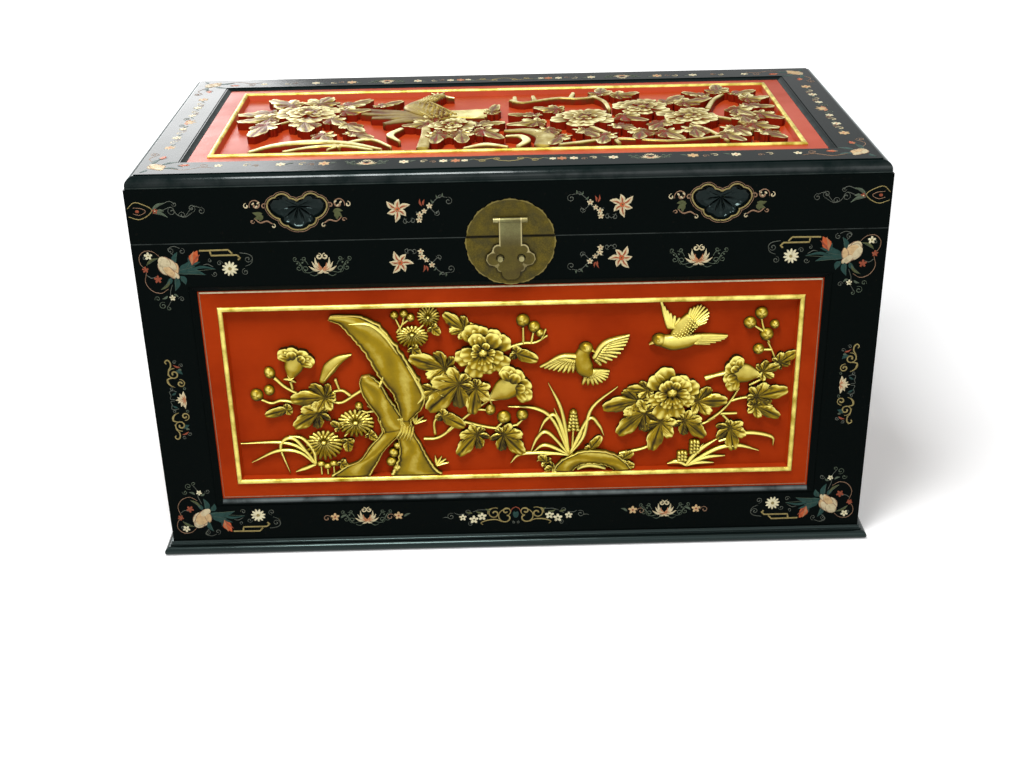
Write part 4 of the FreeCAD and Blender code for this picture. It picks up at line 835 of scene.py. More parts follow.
@dataclass
class LidCarving(Carver):
    """A pheasant among peonies, leaves and twisting branches, drawn about the lid's middle."""

    seed: int = 23
    wall: float = 9.0
    steep: float = 0.62

    def build(self) -> Object:
        """Carve the whole field.

        Returns:
            The relief.
        """
        for part in (self.left_spray, self.middle, self.bird, self.right_spray):
            part()
        item = self.shells.piece("lid_relief", self.plane, "lid", "gilt_wood", 0.15)
        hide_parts("lid_carving")
        return item

    def foliage(self, rows: Sequence[Point]) -> None:
        """Lobed leaves, their tilt changing sides from one to the next."""
        self.leaves([(*row, 0.9 if order % 2 else -0.9) for order, row in enumerate(rows)], 2, 6.5)

    def left_spray(self) -> None:
        """The large peony with its leaves, and arched grass below it."""
        self.stems(
            [[(-300, 30), (-340, 70), (-350, 96)], [(-280, 20), (-240, -10), (-214, -50)],
             [(-300, 10), (-330, -20), (-352, -60)], [(-262, -60), (-250, -100), (-230, -140)]], 8, 5)
        self.foliage((
            (-310, 70, -354, 112, 46), (-284, 72, -268, 122, 54), (-246, 62, -206, 104, 42),
            (-334, 44, -390, 32, 46), (-330, 14, -386, -4, 42), (-340, -8, -358, -78, 42),
            (-294, 0, -284, -60, 48), (-262, 10, -234, -32, 36), (-236, -20, -206, -68, 38),
            (-250, 36, -204, 46, 38), (-196, 60, -158, 92, 30), (-262, -70, -248, -116, 36),
            (-226, -70, -190, -100, 32)))
        self.peony((-290, 34), (48, 43), 19, 2)
        self.limb(
            [(-352, -152), (-318, -124), (-270, -112), (-220, -122), (-172, -152)],
            [5, 17, 18, 14, 5], [5, 7, 7, 5], 0.7, 30, 9)
        self.limb([(-306, -152), (-264, -134), (-222, -134), (-184, -152)], [4, 9, 9, 4], [4, 6, 4], 0.7, 22)
        self.limb([(-246, -148), (-214, -112), (-186, -106), (-160, -140)], [4, 8, 8, 4], [4, 6, 4], 0.7, 22)

    def bird(self) -> None:
        """A perched pheasant, its broad tail laid to the left and one wing half open."""
        for tip in ((-222, 58), (-212, 34), (-196, 8), (-176, -24)):
            self.limb([(-104, 0), (-150, 0.5 * tip[1]), tip], [14, 22, 13], [5, 6, 4], 0.35, 16, 9, 0.42)
        self.wing([(-92, 30), (-82, 2)], [(-28, 44), (-22, 22), (-32, -4)], 8, 9, (4, 6))
        self.limb(
            [(-86, -4), (-112, 22), (-132, 54), (-122, 86), (-104, 112)], [20, 40, 42, 26, 15],
            [6, 11, 12, 11, 9.5], 0.6, 26, 13, 0.6)
        self.scales((-106, 110), (-130, 66), 18, 7, 12.6)
        self.scales((-130, 68), (-90, -4), 38, 12, 13.2)
        self.bud((-101, 116), (11, 11), 11.5, 0, 1)
        self.limb([(-94, 118), (-78, 114)], [8, 1], [8, 3], 0.8, 8, 5)
        for tip in ((-114, 144), (-104, 148), (-94, 146)):
            self.limb([(-104, 120), tip], [4, 5, 1], [8, 4], 0.7, 8, 5)

    def middle(self) -> None:
        """Flowers under the bird, upright stems, and a crescent rock."""
        self.limb([(-118, -20), (-114, -80), (-116, -152)], [12, 14, 18], [5, 6, 6], 0.4, 18, 9, 0.7)
        self.limb([(-150, -50), (-164, -84), (-150, -112)], [8, 12, 5], [4, 6, 3], 0.5, 14)
        self.limb(
            [(-4, -76), (30, -82), (52, -110), (46, -152)], [8, 25, 30, 22], [5, 7, 7, 6], 0.4, 24, 11, 0.7)
        self.limb([(-2, -100), (18, -108), (26, -130), (14, -152)], [6, 13, 12, 8], [4, 8, 8, 5], 0.5, 20, 9)
        self.limb([(-60, -152), (-30, -140), (0, -150)], [6, 12, 6], [3, 6, 3], 0.6, 14)
        self.foliage((
            (-50, -44, -6, -38, 40), (-66, -72, -62, -132, 36), (-96, -74, -100, -132, 34),
            (-42, -66, -10, -116, 36), (-104, -36, -146, -44, 36), (-24, 6, -14, 58, 24),
            (-96, -10, -132, -12, 32)))
        self.peony((-78, -46), (34, 31), 13)

    def right_spray(self) -> None:
        """A thorny branch, three peonies and a thicket of leaves on the right."""
        self.stems(
            [[(8, 90), (24, 74), (48, 84), (80, 98), (112, 92), (142, 104)], [(14, 80), (14, 110)],
             [(44, 82), (42, 112)], [(98, 94), (104, 126)], [(134, 102), (148, 72), (152, 30)],
             [(296, 20), (312, 70), (332, 104)], [(70, -148), (150, -126), (230, -142), (310, -118)],
             [(112, -50), (140, -100), (152, -146)], [(262, -60), (286, -104), (300, -146)],
             [(296, -20), (330, -50), (342, -96)]], 9, 5)
        self.foliage((
            (142, 98, 148, 142, 38), (160, 94, 200, 114, 36), (228, 42, 264, 88, 36), (252, 38, 304, 74, 36),
            (322, 96, 326, 148, 38), (306, 84, 272, 108, 32), (340, 90, 378, 112, 36),
            (350, 60, 392, 74, 36), (344, 30, 390, 18, 38), (330, 20, 354, -26, 38),
            (338, -20, 344, -70, 42), (356, -12, 392, -46, 34), (84, 20, 44, 38, 36), (52, -2, 6, 4, 32),
            (56, -36, 4, -50, 36), (160, -10, 198, -42, 38), (150, -56, 178, -88, 36),
            (226, -44, 204, -90, 38), (64, -70, 46, -114, 36), (78, -104, 60, -150, 34),
            (104, -74, 122, -118, 38), (138, -100, 128, -150, 36), (190, -84, 180, -132, 38),
            (214, -92, 238, -138, 38), (262, -78, 262, -130, 42), (296, -110, 320, -152, 34),
            (312, -78, 330, -128, 42), (336, -70, 376, -94, 38), (350, -102, 378, -142, 34)))
        self.peony((200, 28), (42, 44), 17, 2)
        self.peony((112, -24), (46, 41), 16, 1)
        self.peony((262, -26), (41, 44), 16, 1)


@dataclass
class EndCarving(Carver):
    """A peony spray on one end of the chest."""

    seed: int = 31
    name: str = "left_end"
    middle: float = 0.0

    def build(self) -> Object:
        """Carve the field.

        Returns:
            The relief.
        """
        self.shells.turnover = Turnover(shift=(0, self.middle))
        self.slab(
            [(-62, -126), (-40, -104), (-30, -84), (-20, -60), (-6, -36)],
            [(-2, -126), (-4, -104), (0, -84), (4, -60), (12, -36)], [8, 9, 9, 8], 28)
        self.stems(
            [[(-4, -50), (2, -20), (6, 10)], [(-18, -84), (-52, -62), (-72, -40)],
             [(2, -52), (44, -58), (84, -52)], [(20, 66), (60, 92), (96, 96)],
             [(-20, 66), (-66, 84), (-104, 78)]], 6, 6)
        self.leaves((
            (-34, 40, -92, 56, 38, 0.8), (48, 30, 112, 44, 40, -0.8), (-36, 10, -120, 4, 40, 0.8),
            (46, 4, 128, -6, 40, -0.8), (-90, -60, -134, -96, 34, 0.8), (-58, -62, -78, -112, 32, -0.8),
            (100, -74, 136, -106, 32, 0.8), (66, -70, 52, -112, 34, -0.8), (0, 80, -14, 122, 32, 0.8),
            (34, 74, 44, 122, 30, -0.8)))
        self.peony((6, 34), (48, 46), 18, -5)
        self.peony((-74, -34), (31, 29), 12, -3)
        self.peony((86, -50), (28, 26), 11, -3)
        self.stems(
            [[(-96, 80), (-98, 98)], [(-84, 82), (-80, 102)], [(88, 95), (96, 80)],
             [(76, 94), (80, 112)]], 4, 5)
        self.buds(
            ((-114, 80, 11), (-99, 106, 9), (-78, 110, 8), (106, 97, 11), (100, 74, 9), (82, 118, 8)), 9, 10)
        self.blades(
            (-84, -124),
            [[(-96, -110), (-116, -104), (-136, -108)], [(-100, -116), (-122, -122)],
             [(-80, -112), (-66, -104)]], 6, 6)
        self.blades(
            (44, -124),
            [[(60, -104), (84, -92), (116, -112)], [(62, -114), (90, -110), (108, -124)],
             [(36, -108), (24, -100)], [(52, -104), (60, -86)]], 6, 6)
        self.slab(
            [(70, -126), (84, -112), (104, -108), (122, -114), (132, -126)],
            [(88, -126), (94, -121), (104, -119), (112, -121), (118, -126)], [7, 8, 8, 7], 26)
        item = self.shells.piece(self.name + "_relief", self.plane, "chest", "gilt_wood", 0.85)
        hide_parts(self.name + "_carving")
        return item


# Painted borders
@dataclass
class Painter:
    """Lays thin enamel strokes and spots on a face, each a shade over the one before."""

    plane: Plane
    level: float = 0.0
    shells: Shells = field(default_factory=Shells)
    coats: int = 0

    def film(self) -> float:
        """Thickness of the next coat, a little over the last ones."""
        self.coats += 1
        return 0.16 + 0.012 * (self.coats % 24)

    def sweep(self, line: Array, half: Array, tint: Tint) -> None:
        """Lay a stroke: a shallow rounded section, three steps over the top and one place underneath, set on
        each sample of the line.

        Args:
            line: Points on the face.
            half: Half width at each.
            tint: Colour.
        """
        angle = np.append(np.linspace(0, math.pi, 4), 1.5 * math.pi)
        side = right_of(unit(np.gradient(line, axis=0)))
        flat = line[:, None] + side[:, None] * (np.cos(angle) * half[:, None])[..., None]
        height = self.level + self.film() * np.clip(np.sin(angle), -0.2, 1)
        ends = [(*line[place], self.level) for place in (0, -1)]
        self.shells.add(flat, height, ends, 0.6 + 0.4 * np.sin(angle), tint)

    def stroke(self, path: Line, widths: Sequence[float], tint: Tint, steps: int = 12) -> None:
        """A brush stroke along a smooth path, widths spread along it."""
        self.sweep(smooth_path(path, steps), spread(widths, steps) / 2, tint)

    def ruled(self, path: Line, width: float, tint: Tint) -> None:
        """A ruled line with straight runs."""
        line = straight_path(path, 2)
        self.sweep(line, np.full(len(line), width / 2), tint)

    def leaf(self, base: Point, tip: Point, width: float, tint: Tint = LEAF, bend: float = 0.12) -> None:
        """A pointed leaf in one stroke.

        Args:
            base: Foot.
            tip: Tip.
            width: Greatest width.
            tint: Colour.
            bend: How far its middle is to the left of its way, as a share of its length.
        """
        way = np.subtract(tip, base)
        path = [base, base + 0.5 * way - bend * right_of(way), tip]
        self.stroke(path, [0.4, width * 0.9, width, width * 0.6, 0.3], tint, 9)

    def spot(self, at: Point, size: Point, tint: Tint, angle: float = 0.0) -> None:
        """An oval dab: three rings about its middle, highest in the middle.

        Args:
            at: Middle.
            size: Half width and half height.
            tint: Colour.
            angle: Turn in degrees.
        """
        film = self.film()
        oval = turned(heading(once_round(12)) * size, math.radians(angle))
        flat = oval * np.array([0.6, 0.96, 1.0])[:, None, None] + at
        height = self.level + np.array([[film], [0.7 * film], [-0.03]])
        self.shells.add(flat, height, [(*at, self.level + film), (*at, self.level - 0.03)], 1.0, tint)

    def dot(self, at: Point, radius: float, tint: Tint) -> None:
        """A round dab."""
        self.spot(at, (radius, radius), tint)

    def coil(self, at: Point, radius: float, start: float, turns: float, width: float, tint: Tint) -> None:
        """A scroll that winds inwards: radius falls evenly as the angle grows, signed by the turns.

        Args:
            at: Middle.
            radius: Radius at the start.
            start: Angle at the start in degrees.
            turns: Turns against the clock.
            width: Width of the stroke.
            tint: Colour.
        """
        angle = math.radians(start) + np.linspace(0, 1, 22) * turns * 2 * math.pi
        line = at + heading(angle) * (radius * np.linspace(1, 0.18, 22))[:, None]
        self.sweep(line, spread([width * 0.5, width, width * 1.3], 22) / 2, tint)

    def flower(self, at: Point, radius: float, petals: int, tint: Tint, heart: Tint = GOLD) -> None:
        """A small round flower of dabs with a dot in the middle.

        Args:
            at: Middle.
            radius: Radius.
            petals: Number of petals.
            tint: Colour of the petals.
            heart: Colour of the dot.
        """
        size = (0.44 * radius, min(0.3, 1.75 / petals) * radius)
        for petal in range(petals):
            angle = 360 * petal / petals + 90
            self.spot(at + 0.58 * radius * heading(math.radians(angle)), size, tint, angle)
        self.dot(at, 0.26 * radius, heart)

    def curls(
            self, tint: Tint, rows: Sequence[Point], width: float = 0.9,
            motif: Motif = Motif((0, 0))) -> None:
        """Scrolls of one tint and width in a motif. A motif upside down turns their starts over too; one
        that is mirrored across has starts straight up or down, which stay.

        Args:
            tint: Colour.
            rows: Middle, radius, start in degrees and turns of each.
            width: Width of the strokes.
            motif: Measure of the rows.
        """
        rise = math.copysign(1, motif.up)
        hand = rise * math.copysign(1, motif.across)
        for x, y, radius, start, turns in rows:
            self.coil(motif.spot(x, y), radius * abs(motif.up), rise * start, hand * turns, width, tint)

    def lines(self, tint: Tint, paths: Sequence[Line], motif: Motif = Motif((0, 0))) -> None:
        """Thin tendrils of one tint in a motif, thinner still towards their ends."""
        for points in paths:
            self.stroke(motif.path(points), [0.72, 0.9, 0.54], tint, 14)

    def leaves(self, tint: Tint, rows: Sequence[Point], width: float, motif: Motif = Motif((0, 0))) -> None:
        """Leaves of one tint and width, each given by its base and tip in a motif."""
        for x, y, tip_x, tip_y in rows:
            self.leaf(motif.spot(x, y), motif.spot(tip_x, tip_y), width, tint)

    def veined(self, rows: Sequence[tuple], widths: Sequence[float]) -> None:
        """Leaves with a vein.

        Args:
            rows: Base, tip, width and tint of each leaf.
            widths: Widths along each vein.
        """
        for x, y, tip_x, tip_y, width, tint in rows:
            self.leaf((x, y), (tip_x, tip_y), width, tint)
            self.stroke([(x, y), (tip_x, tip_y)], widths, SAGE, 4)

    def star(self, at: Point, radius: float, petals: int, turn: float) -> None:
        """A lily of pointed russet petals edged in cream, long and short by turns.

        Args:
            at: Middle.
            radius: Length of the long petals.
            petals: Number of petals.
            turn: Direction of the first petal in degrees.
        """
        for petal in range(petals):
            way = radius * heading(math.radians(turn + 360 * petal / petals))
            for reach, width, tint in ((1.0, 0.42, CREAM), (0.84, 0.28, PEACH), (0.74, 0.14, BRICK)):
                tip = at + reach * (1.0 if petal % 2 else 0.8) * way
                self.leaf(at + 0.1 * way, tip, width * radius, tint, 0.1)
        self.dot(at, 0.2 * radius, ORANGE)
        self.dot(at, 0.1 * radius, OLIVE)

    def rose(self, at: Point, radius: float) -> None:
        """A rose that leans to one side: a furled head, and broad petals that fall away below it, edged
        in brown.

        Args:
            at: Middle.
            radius: Half width.
        """
        motif = Motif(at, radius, radius)
        for across, up, wide, tall, angle, tint in (
                (0.12, -0.10, 0.62, 0.98, 38, BLUSH), (0.62, -0.22, 0.30, 0.62, -8, BLUSH),
                (0.40, -0.66, 0.34, 0.60, 52, CREAM), (-0.40, -0.14, 0.36, 0.66, 30, CREAM),
                (0.34, 0.22, 0.36, 0.62, 34, CREAM), (0.06, -0.36, 0.36, 0.72, 40, BLUSH),
                (-0.24, 0.42, 0.52, 0.60, 40, CREAM)):
            place, size = motif.spot(across, up), np.array([wide, tall]) * radius
            self.spot(place, size, tint, angle)
            for first in (-70, 110):
                turn = np.radians(np.linspace(first, first + 140, 5))
                arc = turned(heading(turn) * size * 0.94, math.radians(angle))
                self.stroke(arc + place, [0.5, 1.7, 0.5], TAN, 9)
        head = motif.spot(-0.24, 0.42)
        self.curls(TAN, [(*head, 0.44 * radius, 200, -1.5), (*head, 0.2 * radius, 20, -0.8)], 1.5)

    def bud(self, at: Point, size: float, angle: float) -> None:
        """A rosebud in sepals.

        Args:
            at: Middle.
            size: Half length.
            angle: Direction of the tip in degrees.
        """
        turn = math.radians(angle)
        foot = at - size * heading(turn)
        for lean, reach, width, tint in (
                (0.0, 2.0, 1.1, ORANGE), (0.22, 1.8, 0.5, PEACH), (-0.24, 1.7, 0.4, BRICK),
                (0.75, 1.1, 0.36, LEAF), (-0.75, 1.1, 0.36, LEAF)):
            self.leaf(foot, foot + reach * size * heading(turn + lean), width * size, tint, 0.06)

    def lotus(self, at: Point, half: float) -> None:
        """A lotus seen from the side: curled cream petals with russet hearts, and thin tendrils either way.

        Args:
            at: Middle.
            half: Half width with the tendrils.
        """
        for hand in (-1, 1):
            motif = Motif(at, hand * half, half)
            foot = np.array(motif.spot(0, -0.16))
            for angle, size in ((12, 0.5), (36, 0.46), (60, 0.5), (-40, 0.26)):
                way = size * half * heading(math.radians(angle)) * (hand, 1)
                self.leaf(foot, foot + way, 0.105 * half, CREAM, hand * -0.2)
                self.leaf(foot, foot + 0.56 * way, 0.075 * half, PEACH, hand * -0.2)
            self.coil(motif.spot(0.11, 0.3), 0.12 * half, 90, hand * 1.1, 2.2, CREAM)
            self.lines(
                SAGE,
                (((0.3, -0.24), (0.56, -0.3), (0.7, -0.1), (0.84, 0.12), (1.0, 0.14)),
                 ((0.5, 0.0), (0.6, 0.16), (0.76, 0.2)), ((0.1, -0.3), (0.3, -0.42), (0.46, -0.36))), motif)
            self.curls(
                SAGE,
                ((0.6, -0.16, 0.14, 270, 1.2), (0.84, -0.12, 0.12, 90, 1.2), (0.94, 0.22, 0.09, 270, 1.1),
                 (0.62, 0.22, 0.09, 270, 1.1)), motif=motif)
            for place in motif.path(((0.7, 0.08), (0.78, 0.0), (0.88, 0.06))):
                self.spot(place, (1.5, 1.1), SAGE, 40)

    def spray(self, at: Point, rise: int = 1) -> None:
        """A lily with small pale blossoms and a trailing tendril.

        Args:
            at: Middle of the lily.
            rise: One where the sprig goes up, minus one where it goes down.
        """
        motif = Motif(at, 1, rise)
        self.lines(
            SLATE,
            (((24, -4), (34, -6), (42, 2), (48, 10), (56, 16), (66, 15)), ((8, -12), (14, -18), (20, -12)),
             ((42, 2), (50, -6), (54, -2))), motif)
        self.curls(
            SLATE,
            ((67, 10, 5.5, 90, -1.2), (52, -6, 4, 180, 1.2), (10, -17, 4, 60, 1.0), (19, -16, 4, 120, -1.0),
             (56, 16, 3, 0, 1.0)), motif=motif)
        self.star(at, 18, 6, 80 if rise > 0 else 55)
        for across, up, radius in ((29, -8, 4.6), (28, -15, 4.2), (35, -3, 3.6), (42, 4, 4.2)):
            self.flower(motif.spot(across, up), radius, 5, CREAM, PEACH)
        self.leaves(BRICK, ((32, 4, 30, 14), (34, 5, 36, 13)), 2.6, motif)
        self.leaves(SAGE, ((54, 14, 51, 19), (60, 16, 60, 21), (48, 8, 44, 12)), 2.2, motif)


@dataclass
class FrontPaint(Painter):
    """Painted frame of the front: corners, rails, stiles and the ruled line round the panel. The ground is
    the panel's level, the sight half the opening's width, its foot and its head, and the fold twice the
    height about which the lower corners are turned over."""

    ground: float = -6.0
    sight: Triple = (422.0, 65.0, 387.0)
    fold: float = 460.0

    def build(self) -> Object:
        """Paint both halves.

        Returns:
            The painted work of the body's front.
        """
        for hand in (1, -1):
            self.shells.turnover = Turnover(across=hand)
            self.stile()
            self.rails()
            self.corners(hand, 0.0)
        self.sight_line()
        return self.shells.piece("front_painting", self.plane, "chest", "black_lacquer")

    def corners(self, hand: int, shift: float) -> None:
        """The upper and the lower corner of one hand.

        Args:
            hand: One for the left hand, minus one for the right.
            shift: How far the corners are moved inwards.
        """
        for upright, fold in ((1, 0.0), (-1, self.fold)):
            self.shells.turnover = Turnover(hand, upright, (hand * shift, fold))
            self.corner()

    def sight_line(self) -> None:
        """The ruled line on the panel along the frame's edge, pale at the top and duller round the rest."""
        self.shells.turnover = Turnover()
        self.level = self.ground
        half, low, high = (side + step for side, step in zip(self.sight, (-2.4, 2.4, -2.4)))
        self.ruled([(-half, high), (half, high)], 2.2, WHITE)
        self.ruled([(half, high), (half, low), (-half, low), (-half, high)], 1.3, TAN)

    def corner(self) -> None:
        """Rose, bud, leaves, gold fret, daisy, ring tendrils and small flowers of the upper left corner."""
        self.lines(
            TAN,
            [[(-482, 421), (-490, 429), (-491, 440), (-483, 448), (-472, 447), (-464, 440)],
             [(-484, 418), (-487, 404), (-480, 392), (-468, 388), (-458, 394)]])
        self.lines(
            SLATE,
            [[(-358, 443), (-347, 441), (-342, 436), (-344, 428), (-352, 424)],
             [(-395, 424), (-402, 428), (-408, 427)], [(-452, 400), (-456, 388), (-456, 378), (-462, 368)],
             [(-484, 414), (-478, 410), (-472, 412)], [(-446, 442), (-452, 450), (-444, 454), (-436, 451)]])
        self.curls(
            SLATE,
            [(-348, 434, 5, 0, -1.2), (-353, 416, 5, 90, 1.3), (-394, 414, 4, 180, 1.2),
             (-386, 429, 4, 0, 1.2), (-442, 379, 4, 180, -1.2), (-449, 448, 4.5, 270, 1.2),
             (-434, 447, 4.5, 90, -1.1), (-398, 433, 3, 90, 1.0), (-484, 438, 3, 0, 1.0)])
        self.curls(SAGE, [(-468, 370, 5.5, 60, 1.3), (-474, 380, 4, 200, -1.1), (-460, 366, 3.5, 90, 1.1)])
        self.veined(
            ((-446, 428, -440, 446, 7, LEAF), (-441, 420, -419, 425, 9, LEAF),
             (-444, 416, -406, 413, 10, LEAF), (-430, 418, -392, 421, 4, LEAF),
             (-446, 412, -449, 391, 8, LEAF), (-440, 412, -434, 400, 8, LEAF),
             (-452, 410, -460, 400, 6, LEAF), (-430, 424, -424, 432, 6, LEAF),
             (-483, 428, -466, 438, 3.4, OLIVE), (-454, 406, -468, 393, 3.4, OLIVE),
             (-460, 384, -468, 380, 3, SAGE), (-452, 386, -446, 382, 3, SAGE)), [0.4, 0.6, 0.3])
        self.rose((-455, 425), 15.5)
        self.bud((-418, 437), 11.5, 66)
        self.ruled([(-411, 447), (-373, 447.5), (-368, 442)], 2.3, GOLD)
        self.ruled([(-397, 446), (-396, 440), (-362, 440), (-358, 436), (-361, 433)], 2.3, GOLD)
        self.flower((-373, 421), 10.5, 11, WHITE)
        self.flower((-479, 441), 5.5, 5, WHITE)
        self.flower((-454, 381), 4.2, 5, WHITE)
        self.flower((-485, 422), 4.5, 5, BRICK, BRICK)
        self.flower((-470, 408), 5.5, 5, BRICK, BRICK)

    def stile(self) -> None:
        """The upright motif of a stile: a lotus that opens outwards, and gold scrolls over and under it."""
        for rise in (1, -1):
            motif = Motif((-463, 228), 1, rise)
            foot = motif.spot(8, 0)
            self.curls(GOLD, ((-3.4, 40, 8.8, 80, 1.4), (4.2, 25.5, 6.4, 100, -1.3)), 1.9, motif)
            self.curls(
                SLATE, ((8, 53, 3.2, 200, -1.1), (-0.6, 58, 3, 20, 1.1), (-9, 17, 2.8, 60, 1.1)),
                motif=motif)
            self.curls(SAGE, [(8, 17.5, 2.6, 120, -1.1)], motif=motif)
            for path, widths in (
                    (((-11.6, 38), (-10.2, 46), (-6.8, 51), (-6.6, 57.5), (-10, 61.4), (-13.6, 58.6),
                      (-12, 55.4)), [1.0, 1.8, 1.9, 1.4]),
                    (((-3, 34.5), (-12.4, 32.5), (-12.8, 27), (-9.5, 22.5), (-4, 19.6)),
                     [0.6, 2.2, 2.8, 1.6, 0.4])):
                self.stroke(motif.path(path), widths, GOLD, 18)
            self.lines(SLATE, [((-3, 13), (-8, 15), (-13, 13), (-11.5, 7), (-13, 2), (-7, 1))], motif)
            for row, width, tint in (
                    ((0, 45, 8.5, 39.5), 5.5, LEAF), ((3, 46, 8, 46), 3.4, SAGE),
                    ((6, 50, -3, 54), 2.6, BRICK), ((-4, 12, -11, 8), 3.2, LEAF)):
                self.leaves(tint, [row], width, motif)
            for across, up in ((6.4, 13.6), (0.6, 10.2), (-3.2, 4.6)):
                self.leaf(foot, motif.spot(across, up), 5.2, CREAM, 0.1 * rise)
                self.leaf(foot, motif.spot(8 + 0.6 * (across - 8), 0.6 * up), 3.4, PEACH, 0.1 * rise)
        self.leaf(foot, motif.spot(-6, 0), 4.4, CREAM, 0.0)
        self.leaf(foot, motif.spot(0, 0), 3.0, ORANGE, 0.0)

    def rails(self) -> None:
        """Motifs of the top and bottom rails left of the middle."""
        self.lotus((-250, 424), 38)
        self.spray((-147, 424), -1)
        self.lotus((-216, 33), 36)
        for across in (-262, -170):
            self.flower((across, 33), 6.5, 5, BLUSH, BRICK)
            self.coil((across - 12, 31), 6, 0, 1.1, 1.1, TAN)
            self.leaf((across + 8, 31), (across + 17, 36), 3.4, SAGE)
        self.middle_scroll()

    def middle_scroll(self) -> None:
        """Left half of the looped gold scroll in the middle of the bottom rail, with its white blossoms."""
        self.curls(
            GOLD, [(-14, 26, 14.5, 70, 1.0), (-14, 36, 7.6, -80, 1.15), (-31, 32.5, 10, 60, 1.3)], 1.9)
        self.stroke(
            [(-20, 18), (-28, 22), (-38, 22), (-46, 20), (-51, 17), (-48, 14)],
            [1.0, 2.0, 1.6, 0.8], GOLD, 18)
        self.stroke([(-32, 42), (-39, 39), (-41, 32)], [0.6, 1.8, 0.8], GOLD, 9)
        self.stroke([(0, 43), (-5, 40), (-7, 35)], [1.2, 1.4, 0.8], BRICK, 9)
        self.spot((-1.5, 30), (2.6, 5.5), LEAF, 10)
        self.curls(
            SLATE,
            [(-70, 36, 5, 270, 1.2), (-94, 29, 6, 60, 1.3), (-66, 16, 4, 90, 1.2), (-3, 17, 2.4, 90, 1.2)])
        self.lines(
            SLATE,
            [[(-62, 36), (-54, 39), (-42, 39)], [(-75, 33), (-83, 32), (-89, 35)],
             [(-98, 27), (-102, 28), (-106, 27)]])
        self.leaves(OLIVE, ((-47, 34, -58, 37), (-63, 34, -72, 37), (-36, 38, -44, 41)), 3.6)
        for across, up, radius in ((-49, 28, 6.6), (-61, 23, 6.8), (-77, 27, 5.6)):
            self.flower((across, up), radius, 5, WHITE, OLIVE)


@dataclass
class EndPaint(FrontPaint):
    """Painted frame of one end: the front's corners and stile scrolls, closed up to the end's width."""

    name: str = "left_end"
    inset: float = 240.0

    def build(self) -> Object:
        """Paint both halves.

        Returns:
            The painted work of the end.
        """
        for hand in (1, -1):
            self.shells.turnover = Turnover(hand, 1, (hand * self.inset, 0.0))
            self.stile()
            self.corners(hand, self.inset)
        self.shells.turnover = Turnover()
        self.lotus((0, 424), 38)
        self.lotus((0, 33), 36)
        self.sight_line()
        return self.shells.piece(self.name + "_painting", self.plane, "chest", "black_lacquer")


